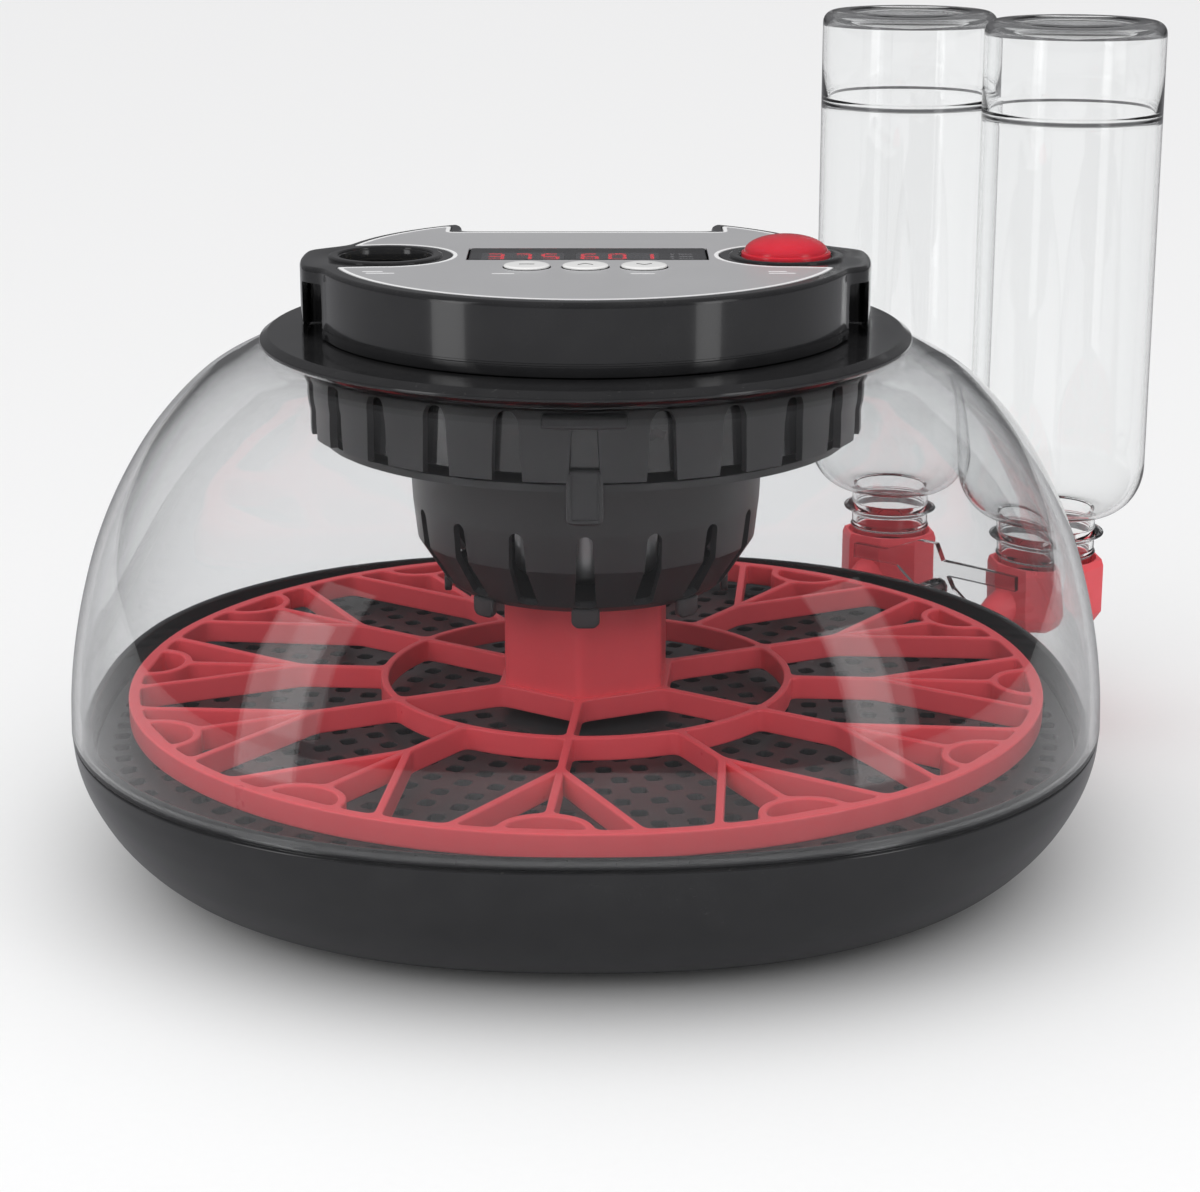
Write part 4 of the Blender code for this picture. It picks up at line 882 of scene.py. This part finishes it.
def cover_surface():
    """Head cover: grooved wall with a rounded top edge, label recess, eye holes and cavity."""
    low, high = COVER_Z
    floor, ceiling = high - 0.6, CEILING_Z
    outer, cavity, recess = cover_outline(), cavity_outline(), shift(label_outline(), -0.25)
    wall = np.array([(0.5, low), (0.15, low + 0.15), (0.0, low + 0.5), (0.0, 139.5), (0.35, 139.65),
                     (0.35, 140.1), (0.0, 140.25), (0.0, 140.5), (0.0, high - 1.6)])
    swing = np.radians(np.linspace(10.0, 90.0, 8))
    top = np.stack([1.2 * (1.0 - np.cos(swing)), high - 1.2 + 1.2 * np.sin(swing)], axis=1)
    skin = Skin()

    def band(outline, sections):
        rows = [np.column_stack([shift(outline, inset), np.full(len(outline), z)]) for inset, z in sections]
        numbers = skin.add(np.stack(rows))
        skin.weave(numbers)
        return numbers[0], numbers[-1]

    foot, brim = band(outer, np.vstack([wall, top, [(1.4, high)]]))
    ceiling_edge, mouth = band(anticlockwise(cavity)[::-1],
                               ((0.0, low), (0.0, ceiling - 0.8), (-0.15, ceiling - 0.2), (-0.5, ceiling)))
    recess_floor, recess_top = band(recess[::-1], ((0.0, floor), (0.0, high)))
    eyes = [ring(11.6, 72, side * EYE_X)[::-1] for side in (-1.0, 1.0)]
    eye_edge = ((0.0, ceiling), (0.0, high - 0.4), (0.12, high - 0.12), (0.4, high))
    eye_bands = [band(eye, eye_edge) for eye in eyes]
    holes = [rectangle(-30.0, -7.0, 31.0, 12.0)[::-1]] + [ring(3.9, 32, x, KEY_Y)[::-1] for x in KEY_X]
    hole_bands = [band(hole, ((0.0, ceiling), (0.0, floor))) for hole in holes]
    skin.fill([foot, ceiling_edge], up=False)
    skin.fill([brim, recess_top] + [b[1] for b in eye_bands], up=True)
    skin.fill([recess_floor[::-1]] + [b[1] for b in hole_bands], up=True)
    skin.fill([mouth[::-1]] + [b[0] for b in eye_bands + hole_bands], up=False)
    cover = skin.make("head_top", gloss_black, "head", "gloss_black", ["head_cover"])
    for side in (-1.0, 1.0):
        xs = sorted((side * 65.2, side * 70.4))
        pocket = even(rectangle(xs[0], -30.0, xs[1], 4.0), 0.6, 0.5)
        cut(cover, cutting_block(pocket, low - 3.0, 150.6))
    inlet = even(rectangle(-8.3, 36.2, 8.3, 44.2), 0.6, 0.2)
    cut(cover, cutting_block(inlet, 139.7, 149.3))
    for side in (-1.0, 1.0):
        lip = ((12.0, high - 0.2), (14.6, high - 0.2), (14.4, high + 0.25), (13.8, high + 0.5),
               (12.4, high + 0.5), (12.05, high + 0.2))
        name = "eye_lip_" + ("left" if side < 0 else "right")
        lathe(Skin(), fillet(lip, 0.2, 3), 96, side * EYE_X, loop=True).make(
            name, gloss_black, "head", "gloss_black")
    return cover


def flange_surface():
    """Round plate that closes the head from below."""
    chain = ((0.0, 133.3), (81.5, 133.3), (82.7, 134.3), (82.7, 135.1), (80.6, 136.5), (0.0, 136.5))
    skin = lathe(Skin(), fillet(chain, 0.5, 5), 240)
    return skin.make("head_plate", gloss_black, "head", "gloss_black", ["head_flange"])


def label_surfaces():
    """Foil sheet with window and key openings, and its pale border strip."""
    low, high = 154.05, 154.55
    outline = label_outline()
    window = even(rectangle(-30.0, -7.0, 31.0, 12.0), 0.8, 0.4)
    holes = [window] + [ring(6.0, 48, x, KEY_Y) for x in KEY_X]
    skin = plate(Skin(), outline, holes, low, high, 0.12, 2)
    skin.make("label_sheet", label_foil, "head", "silver_label", ["control_label"])
    strip = plate(Skin(), stepped(outline, 0.2), [stepped(outline, 1.2)], high - 0.1, high + 0.03, 0.02, 1)
    strip.make("label_border", white_print, "head", "silver_label")


def print_marks():
    """Generic dashes printed on the label."""
    level = 154.5
    skin = Skin()
    marks = ((-52.0, -24.5, 5.0, 0.8), (-50.0, -27.0, 7.0, 0.8), (-20.0, -27.5, 5.5, 0.7),
             (14.0, -27.5, 6.0, 0.7), (47.0, -24.5, 4.5, 0.8), (48.0, -27.0, 6.5, 0.8))
    for x, y, length, height in marks:
        bar = even(rectangle(x - length / 2, y - height / 2, x + length / 2, y + height / 2), 0.3, 0.1)
        plate(skin, bar, [], level, level + 0.08, 0.02, 1)
    skin.make("label_dashes", white_print, "head", "silver_label")


def chevron(x, y, half, drop, thick):
    """Outline of a V-shaped stroke that points to +y for a positive drop."""
    points = [(-half, -drop), (0.0, drop), (half, -drop), (half, -drop - thick), (0.0, drop - thick),
              (-half, -drop - thick)]
    return np.array(points) + (x, y + thick / 2.0)


def key_surfaces():
    """Three domed keys on stems; each carries a simple mark."""
    for node, mark, x in zip(("key_set", "key_up", "key_down"), ("dash", "up", "down"), KEY_X):
        body = body_of(frame["nodes"][node])[0]
        chain = fillet(((0.0, 149.6), (3.5, 149.6), (3.5, 154.6), (5.7, 154.6), (5.7, 155.05), (5.0, 155.22),
                        (0.0, 155.26)), (0, 0.3, 0.1, 0.1, 0.3, 0.5, 0), 4, 0.1)
        lathe(Skin(), chain, 64, x, KEY_Y).make(node + "_cap", white_plastic, body, "white_key", [node])
        skin = Skin()
        if mark == "dash":
            bar = even(rectangle(x - 1.9, KEY_Y - 0.3, x + 1.9, KEY_Y + 0.3), 0.2, 0.08)
            plate(skin, bar, [], 155.2, 155.29, 0.02, 1)
        else:
            way = 1.0 if mark == "up" else -1.0
            shape = chevron(x, KEY_Y, 1.9, 0.9 * way, 0.7)
            plate(skin, even(anticlockwise(shape), 0.2, 0.06), [], 155.2, 155.29, 0.02, 1)
        skin.make(node + "_mark", dark_print, body, "white_key")


def segment(x, y, length, thick, upright):
    """A six-cornered bar of a digit, lying along x or standing along y."""
    half, end = length / 2.0, thick / 2.0
    bar = np.array([(-half, 0.0), (-half + end, -end), (half - end, -end), (half, 0.0), (half - end, end),
                    (-half + end, end)])
    if upright:
        bar = np.stack([-bar[:, 1], bar[:, 0]], axis=1)
    return anticlockwise(bar + (x, y))


DIGIT_BARS = {"1": "bc", "2": "abged", "3": "abgcd", "4": "fgbc", "5": "afgcd", "6": "afgedc", "7": "abc",
              "8": "abcdefg", "9": "abcdfg", "0": "abcdef"}


def display_surfaces():
    """Tinted pane over a dark face with two grey groups of lit seven-segment digits."""
    x0, y0, x1, y1 = -29.4, -6.4, 30.4, 11.4
    pane = plate(Skin(), even(rectangle(x0, y0, x1, y1), 0.8, 0.35), [], 153.55, 154.6, 0.15, 2)
    pane.make("display_pane", pane_tinted, "head", "display_glass", ["display_window"])
    face = plate(Skin(), even(rectangle(x0, y0, x1, y1), 1.0, 0.3), [], 151.5, 152.9, 0.1, 2)
    face.make("display_panel", display_face, "head", "display_glass")
    films, bars, dots = Skin(), Skin(), Skin()
    level = 152.9
    for left, right, digits in ((-26.5, -5.5, "375"), (-2.5, 18.5, "601")):
        film = even(rectangle(left, -3.6, right, 8.6), 0.8, 0.5)
        plate(films, film, [], level - 0.05, level + 0.05, 0.02, 1)
        tall, wide, thick = 4.1, 3.7, 0.95
        for i, digit in enumerate(digits):
            x, y = left + (right - left) * (i + 0.5) / 3.0, 2.5
            places = {"a": (0, tall, 0), "g": (0, 0, 0), "d": (0, -tall, 0), "f": (-wide / 2, tall / 2, 1),
                      "b": (wide / 2, tall / 2, 1), "e": (-wide / 2, -tall / 2, 1),
                      "c": (wide / 2, -tall / 2, 1)}
            for bar in DIGIT_BARS[digit]:
                dx, dy, upright = places[bar]
                length = (tall if upright else wide) - 0.25
                outline = even(segment(x + dx, y + dy, length, thick, upright), 0.3, 0.08)
                plate(bars, outline, [], level + 0.05, level + 0.12, 0.02, 1)
    for y in (6.4, 2.6, -1.2):
        plate(dots, ring(0.55, 20, 22.0, y), [], level, level + 0.1, 0.02, 1)
        dash = even(rectangle(23.6, y - 0.35, 27.2, y + 0.35), 0.3, 0.1)
        plate(dots, dash, [], level, level + 0.1, 0.02, 1)
    films.make("display_films", display_grey, "head", "display_glass")
    bars.make("display_digits", lit_red, "head", "display_glass")
    dots.make("display_marks", white_print, "head", "display_glass")


def lamp_surfaces():
    """Red push dome, candling tube, lens and lamp."""
    x = EYE_X
    swing = np.radians(np.linspace(0.0, 90.0, 28))
    dome = np.stack([10.6 * np.cos(swing), 155.6 + 4.3 * np.sin(swing)], axis=1)
    skirt = fillet(((0.0, 149.0), (12.1, 149.0), (12.1, 151.1), (11.3, 151.1), (11.3, 155.6), (10.6, 155.6)),
                   (0, 0.3, 0.3, 0.2, 0.3, 0), 4, 0.1)
    lathe(Skin(), np.vstack([skirt, dome[1:]]), 96, x).make("lamp_dome", lamp_red, "lamp_push", "coral_red",
                                                           ["lamp_button"])
    tube = ((12.1, 143.0), (12.1, 151.2), (11.3, 151.2), (11.3, 147.4), (8.0, 147.4), (8.0, 143.0))
    closed = np.vstack([[(10.0, 143.0)], tube[:4], tube[4:], [(10.0, 143.0)]])
    profile = fillet(closed, 0.25, 3, 0.1)[:-1]
    lathe(Skin(), profile, 96, -x, loop=True).make("candling_sleeve", satin_black, "head", "satin_black",
                                                  ["candling_tube"])
    swing = np.radians(np.linspace(0.0, 90.0, 20))
    bulge = np.stack([10.6 * np.cos(swing), 149.3 + 1.3 * np.sin(swing)], axis=1)
    lens_side = ((0.0, 147.7), (10.9, 147.7), (10.9, 149.3), (10.6, 149.3))
    lens = np.vstack([fillet(lens_side, (0, 0.2, 0.1, 0), 3, 0.1), bulge[1:]])
    lathe(Skin(), lens, 96, -x).make("candling_window", lens_clear, "head", "candling_lens",
                                     ["candling_lens"])
    lamp = fillet(((0.0, 142.9), (5.0, 142.9), (5.0, 144.2), (3.4, 146.4), (0.0, 146.4)), 0.6, 5, 0.1)
    lathe(Skin(), lamp, 64, -x).make("candling_bulb", lit_lamp, "head", "lamp", ["candling_lamp"])


# ---------------------------------------------------------------- crown and guard

def slot_columns(count, half, inside, outside):
    """Turn angles (rows, columns) of a ring with count slots whose half angle differs by row.

    Each slot takes inside columns and each land outside columns; also tells which cells lie in a slot.
    """
    pitch = 360.0 / count
    half = np.asarray(half, float)[:, None]
    across = np.linspace(-1.0, 1.0, inside + 1)[None, :-1] * half
    share = np.linspace(0.0, 1.0, outside + 1)[None, :-1]
    land = half + (pitch - 2.0 * half) * share
    one = np.hstack([across, land])
    turns = np.hstack([one + i * pitch for i in range(count)])
    in_slot = np.tile(np.arange(inside + outside) < inside, count)
    return np.radians(turns), in_slot


def slot_half(z, low, high, wide_low, wide_high, round_low, round_high):
    """Half width of a tapering slot with elliptical ends, in millimetres, at heights z."""
    width = np.interp(z, (low, high), (wide_low, wide_high))
    top = np.clip((z - (high - round_high)) / max(round_high, 1e-6), 0.0, 0.97) if round_high else 0.0 * z
    foot = np.clip(((low + round_low) - z) / max(round_low, 1e-6), 0.0, 0.97) if round_low else 0.0 * z
    return width * np.sqrt(1.0 - top ** 2) * np.sqrt(1.0 - foot ** 2)


def turned_grid(radius, z, turns):
    """(r sin t, -r cos t, z) for radius and z by row and turn by row and column."""
    radius, z = np.asarray(radius)[:, None], np.asarray(z)[:, None]
    height = np.broadcast_to(z, turns.shape)
    return np.stack([radius * np.sin(turns), -radius * np.cos(turns), height], axis=-1)


def crown_surface():
    """Ring of hanging fingers with arched slots between them, and a window at the front."""
    count = 24
    z = np.unique(np.concatenate([np.linspace(112.2, 125.5, 18), np.linspace(125.5, 129.0, 12),
                                  [114.5, 125.0], np.linspace(129.0, 133.0, 5)]))
    radius = 69.6 + 0.035 * (z - 102.0)
    half = slot_half(z, 112.2, 129.0, 3.75, 2.9, 0.0, 2.9)
    turns, in_slot = slot_columns(count, np.degrees(half / 70.5), 8, 12)
    middle_z = 0.5 * (z[:-1] + z[1:])
    open_row = (middle_z < 129.0)[:, None]
    kept = ~(open_row & in_slot[None])
    front = np.arange(len(in_slot)) < 8
    window = ((middle_z > 114.5) & (middle_z < 125.0))[:, None]
    kept = np.where(front[None] & open_row, ~window, kept)
    skin = pierced(Skin(), turned_grid(radius, z, turns), turned_grid(radius - 2.0, z, turns), kept)
    crown = skin.make("crown_fingers", satin_black, "head", "satin_black", ["vent_crown"])
    rounded_edges(crown, 0.4, 3)
    liner = fillet(((65.9, 113.8), (67.1, 113.8), (67.1, 132.9), (65.9, 132.9)), 0.0)
    lathe(Skin(), liner, 240, loop=True).make("crown_liner", gloss_black, "head", "satin_black")


def bent(skin, outline, radius, thick, edge=0.3):
    """A flat plate bent round a cylinder: (x, y, z) -> ((R + z) sin(x / R), -(R + z) cos(x / R), y)."""
    flat = plate(Skin(), outline, [], 0.0, thick, edge, 3)
    x, y, z = flat.points.T
    reach = radius + z
    start = len(skin.points)
    skin.add(np.stack([reach * np.sin(x / radius), -reach * np.cos(x / radius), y], axis=1))
    skin.faces += [[start + i for i in face] for face in flat.faces]
    return skin


def latch_surfaces():
    """Release tongue below the crown's front window, its raised rim and the grip bar above it."""
    tongue = even(rectangle(-4.2, 102.0, 4.2, 115.2), 0.4, 1.0)
    skin = bent(Skin(), tongue, 67.7, 2.2, 0.5)
    for x0, x1 in ((-4.0, -3.1), (3.1, 4.0)):
        bent(skin, even(rectangle(x0, 103.4, x1, 114.6), 0.3, 0.2), 69.7, 0.7, 0.12)
    bent(skin, even(rectangle(-3.0, 102.5, 3.0, 103.4), 0.3, 0.2), 69.7, 0.6, 0.12)
    bar = even(rectangle(-9.8, 125.4, 9.8, 128.8), 0.4, 0.7)
    bent(skin, bar, 69.6, 2.7, 0.7)
    skin.make("latch_tongue", satin_black, "head", "satin_black")


def guard_surface():
    """Basket under the fan: flat floor ring, flaring slotted wall and top flange, with hooks below."""
    outer = fillet(((8.5, 70.8), (34.8, 70.8), (36.8, 72.4), (43.5, 83.0), (44.6, 92.7), (45.4, 109.0),
                    (66.0, 109.0)), (0, 0.8, 0.8, 0.5, 0.5, 1.2, 0), 5, 0.0)
    lengths = np.concatenate([[0.0], np.cumsum(np.linalg.norm(np.diff(outer, axis=0), axis=1))])
    slot_low, slot_high = 72.4, 92.7
    low_at, high_at = (np.interp(z, outer[:, 1], lengths) for z in (slot_low, slot_high))
    slot_end = high_at - 2.0 * (1.0 - np.cos(np.linspace(0, 1.5, 8)))
    extra = np.concatenate([np.linspace(low_at, high_at, 26), slot_end])
    along = np.unique(np.round(np.concatenate([lengths, extra]), 4))
    radius, z = np.interp(along, lengths, outer[:, 0]), np.interp(along, lengths, outer[:, 1])
    outline = np.stack([radius, z], axis=1)
    inner = inward(outline, 1.8)
    inner[0], inner[-1] = (8.5, 72.6), (66.0, 110.8)
    inner[:, 1] = np.maximum.accumulate(inner[:, 1])
    half = slot_half(along, low_at, high_at, 2.75, 1.85, 0.8, 1.85)
    outside_slot = (along < low_at) | (along > high_at)
    half = np.where(outside_slot, 0.6, half)
    turns, in_slot = slot_columns(16, np.degrees(half / np.maximum(radius, 20.0)), 8, 16)
    centre = 0.5 * (along[:-1] + along[1:])
    open_row = ((centre > low_at) & (centre < high_at))[:, None]
    kept = ~(open_row & in_slot[None])
    skin = pierced(Skin(), turned_grid(*outline.T, turns), turned_grid(*inner.T, turns), kept)
    guard = skin.make("guard_basket", satin_black, "head", "satin_black", ["fan_guard"])
    rounded_edges(guard, 0.35, 3)
    hooks = Skin()
    for turn in np.radians(np.arange(0.0, 360.0, 45.0)):
        base = np.array([(-3.4, 72.0), (-3.4, 68.2), (-2.2, 67.0), (2.2, 67.0), (3.4, 68.2), (3.4, 72.0)])
        claw = bent(Skin(), even(base, 0.4, 0.4), 35.0, 1.9, 0.5)
        x, y, height = claw.points.T
        c, s = np.cos(turn), np.sin(turn)
        swung = np.stack([x * c - y * s, x * s + y * c, height], axis=1)
        start = len(hooks.points)
        hooks.add(swung)
        hooks.faces += [[start + i for i in face] for face in claw.faces]
    hooks.make("guard_hooks", satin_black, "head", "satin_black")


def drive_surfaces():
    """Fan motor, rotor, turner motor, heating ring and probe, with rounded edges."""
    for node, body, slot, finish, width in (
            ("fan_motor", "head", "steel", steel, 0.5), ("fan_rotor", "fan", "satin_black", satin_black, 0.3),
            ("drive_motor", "head", "steel", steel, 0.4), ("heater_ring", "head", "steel", steel, 0.8),
            ("sensor_probe", "head", "satin_black", satin_black, 0.3)):
        softened(node, finish, body, width)
    chain = fillet(((0.0, 60.3), (5.0, 60.3), (6.0, 61.8), (6.0, 71.9), (3.0, 71.9), (3.0, 82.8),
                    (0.0, 82.8)), 0.3, 3, 0.1)
    shares = (chain[:, 1] < 71.95) & (chain[:, 0] > 3.05)
    lathe(Skin(), chain, 120, shape=hexed(shares, 120), turn=TURNER_PHASE).make(
        "coupler_key", white_plastic, "coupler", "white_key", ["drive_coupler"])


# ---------------------------------------------------------------- bottles and feed

def bottle_surfaces():
    """Blown bottle as one turned wall: inside from the flat end to the mouth, then the outside."""
    swing = np.radians(np.linspace(8.0, 90.0, 22))
    wide, neck = 25.6, 12.2
    shoulder = np.stack([neck + (wide - neck) * np.sin(swing), 62.0 + 15.0 * (1.0 - np.cos(swing))], axis=1)
    finish = fillet(((11.6, 32.5), (11.9, 49.6), (12.7, 50.4), (12.2, 51.4), (12.2, 54.6), (15.4, 56.3),
                     (12.2, 58.0), (12.2, 62.0)), (0, 0.2, 0.3, 0.3, 0.5, 0.5, 0.5, 0), 5)
    top = fillet(((wide, 180.0), (wide, 205.0), (18.0, 205.0), (15.5, 204.1), (0.0, 203.2)),
                 (0, 4.0, 1.0, 1.5, 0), 10)
    body = np.stack([np.full(30, wide), np.linspace(78.5, 179.0, 30)], axis=1)
    outside = np.vstack([finish, shoulder, body, top])
    bead = 24.6 - 0.7 * np.sin(np.linspace(0.0, np.pi, 9)) ** 2
    ridge = np.stack([bead, np.linspace(177.6, 180.4, 9)], axis=1)
    end = fillet(((24.6, 190.0), (24.6, 203.9), (17.6, 203.9), (15.0, 203.0), (0.0, 202.1)),
                 (0, 3.2, 1.0, 1.5, 0), 10)
    flare = 11.1 + (24.6 - 11.1) * np.sin(swing)
    inner_shoulder = np.stack([flare, 62.8 + 15.0 * (1.0 - np.cos(swing))], axis=1)
    inside = np.vstack([[(10.6, 32.5), (10.9, 50.0), (11.1, 54.6), (11.1, 62.6)], inner_shoulder,
                        np.stack([np.full(20, 24.6), np.linspace(79.5, 176.5, 20)], axis=1), ridge, end])
    profile = np.vstack([inside[::-1], outside])
    for i, side in enumerate(("left", "right"), start=1):
        node = f"bottle_{i}"
        x, y, _ = middle(node)
        wall = lathe(Skin(), profile, 128, x, y)
        wall.make(f"bottle_wall_{i}", bottle_clear, side + "_bottle", "clear_bottle", [node], 50.0)
    for i in (1, 2):
        softened(f"water_socket_{i}", coral_red, "base", 0.5, 4)
        softened(f"neck_seal_{i}", rubber, "base", 0.15)
        softened(f"spout_grommet_{i}", rubber, "base", 0.2)
        softened(f"bracket_screw_{i}", steel, "base", 0.2)
    softened("bottle_bracket", bracket_clear, "base", 0.5, 4)


def small_parts():
    """Inlet, head screws and the parts inside the head."""
    softened("power_inlet", satin_black, "head", 0.4)
    for corner in ("front_right", "front_left", "rear_right", "rear_left"):
        softened("head_screw_" + corner, steel, "head", 0.25)
    inner = {"control_board": (laminate, "board"), "display_module": (display_face, "display_glass"),
             "key_switch_set": (satin_black, "satin_black"), "key_switch_up": (satin_black, "satin_black"),
             "key_switch_down": (satin_black, "satin_black"), "lamp_switch": (satin_black, "satin_black")}
    for node, (finish, slot) in inner.items():
        softened(node, finish, "head", 0.2)


base_surface()
foot_surfaces()
grille_surface()
turner_surface()
dome_surface()
cover_surface()
flange_surface()
label_surfaces()
print_marks()
key_surfaces()
display_surfaces()
lamp_surfaces()
crown_surface()
latch_surfaces()
guard_surface()
drive_surfaces()
bottle_surfaces()
small_parts()


# ---------------------------------------------------------------- studio

def studio_floor():
    """White table as a wide disc (r sin t, -r cos t, 0); it gives shiny parts a darker reflection."""
    radius = np.concatenate([np.linspace(0.02, 0.6, 12), np.geomspace(0.7, 6.0, 14)])[:, None]
    turn = np.linspace(0.0, 2.0 * np.pi, 96, endpoint=False)[None]
    skin = Skin()
    grid = np.stack([radius * np.sin(turn), -radius * np.cos(turn), 0.0 * radius * turn], axis=-1)
    numbers = skin.add(grid)
    skin.weave(numbers)
    mesh = bpy.data.meshes.new("studio_table")
    mesh.from_pydata(skin.points.tolist(), [], [face[::-1] for face in skin.faces] + [numbers[0].tolist()])
    material, shader, board = blank("studio_paper")
    place = board.node("ShaderNodeTexCoord").outputs["Object"]
    fibre = board.noise(400.0, 4.0, 0.6, place)
    board.tree.links.new(board.mix(fibre, (0.86, 0.86, 0.86, 1.0), (0.88, 0.88, 0.88, 1.0)),
                         shader.inputs["Base Color"])
    board.tree.links.new(board.spread(fibre, 0.2, 0.8, 0.82, 0.92), shader.inputs["Roughness"])
    dim = board.node("ShaderNodeBsdfDiffuse", {"Color": (0.3, 0.3, 0.31, 1.0)})
    path = board.node("ShaderNodeLightPath")
    shiny = board.math("SUBTRACT", path.outputs["Is Glossy Ray"], path.outputs["Is Transmission Ray"],
                       clamp=True)
    blend = board.node("ShaderNodeMixShader", {0: shiny, 1: shader.outputs[0], 2: dim.outputs[0]})
    board.tree.links.new(blend.outputs[0], material.node_tree.nodes["Material Output"].inputs["Surface"])
    mesh.materials.append(material)
    table = bpy.data.objects.new("studio_table", mesh)
    bpy.context.scene.collection.objects.link(table)


def soft_light(name, place, target, wide, tall, power, mirrored_in_gloss=True):
    """A rectangular lamp aimed at a point; without mirrored_in_gloss, shiny and clear parts miss it."""
    lamp = bpy.data.lights.new(name, "AREA")
    lamp.shape = "RECTANGLE"
    lamp.size, lamp.size_y = wide, tall
    lamp.energy = power
    holder = bpy.data.objects.new(name, lamp)
    bpy.context.scene.collection.objects.link(holder)
    holder.location = place
    holder.rotation_mode = "QUATERNION"
    holder.rotation_quaternion = (Vector(target) - Vector(place)).to_track_quat("-Z", "Y")
    holder.visible_glossy = mirrored_in_gloss
    holder.visible_transmission = mirrored_in_gloss


def overhead_sky():
    """One very wide lamp overhead, for even light on the table and soft shadows."""
    lamp = bpy.data.lights.new("overhead_sky", "SUN")
    lamp.energy = 2.9
    lamp.angle = np.radians(110.0)
    holder = bpy.data.objects.new("overhead_sky", lamp)
    bpy.context.scene.collection.objects.link(holder)
    holder.rotation_euler = (np.radians(12.0), np.radians(-8.0), 0.0)
    holder.visible_glossy = False
    holder.visible_transmission = False


def studio_world():
    """Pale to the eye, dark grey to the shiny and clear parts so that their edges are drawn."""
    world = bpy.data.worlds.new("studio_world")
    bpy.context.scene.world = world
    world.use_nodes = True
    board = Board(world.node_tree)
    path = board.node("ShaderNodeLightPath")
    tone = board.mix(path.outputs["Is Camera Ray"], (0.14, 0.14, 0.145, 1.0), (0.9, 0.9, 0.9, 1.0))
    board.tree.links.new(tone, world.node_tree.nodes["Background"].inputs["Color"])


studio_floor()
soft_light("front_bank", (0.0, -1.7, 0.9), (0.0, 0.0, 0.1), 1.8, 0.8, 5.0, False)
soft_light("left_strip", (-1.0, -0.75, 0.5), (0.0, 0.0, 0.12), 0.3, 0.8, 0.5)
soft_light("right_strip", (1.05, -0.7, 0.5), (0.0, 0.0, 0.12), 0.36, 0.8, 0.6)
soft_light("left_low_strip", (-0.5, -0.34, 0.17), (0.0, 0.0, 0.12), 0.16, 0.34, 0.2)
soft_light("right_low_strip", (0.47, -0.4, 0.17), (0.0, 0.0, 0.12), 0.12, 0.34, 0.14)
overhead_sky()
studio_world()
bpy.context.scene.view_settings.view_transform = "Standard"

camera_data = bpy.data.cameras.new("camera")
camera_data.lens = 84.54
camera_data.sensor_width = 36.0
camera = bpy.data.objects.new("camera", camera_data)
bpy.context.scene.collection.objects.link(camera)
camera.location = (0.0036, -0.7083, 0.269)
camera.rotation_euler = (np.radians(73.93), 0.0, 0.0)
bpy.context.scene.camera = camera
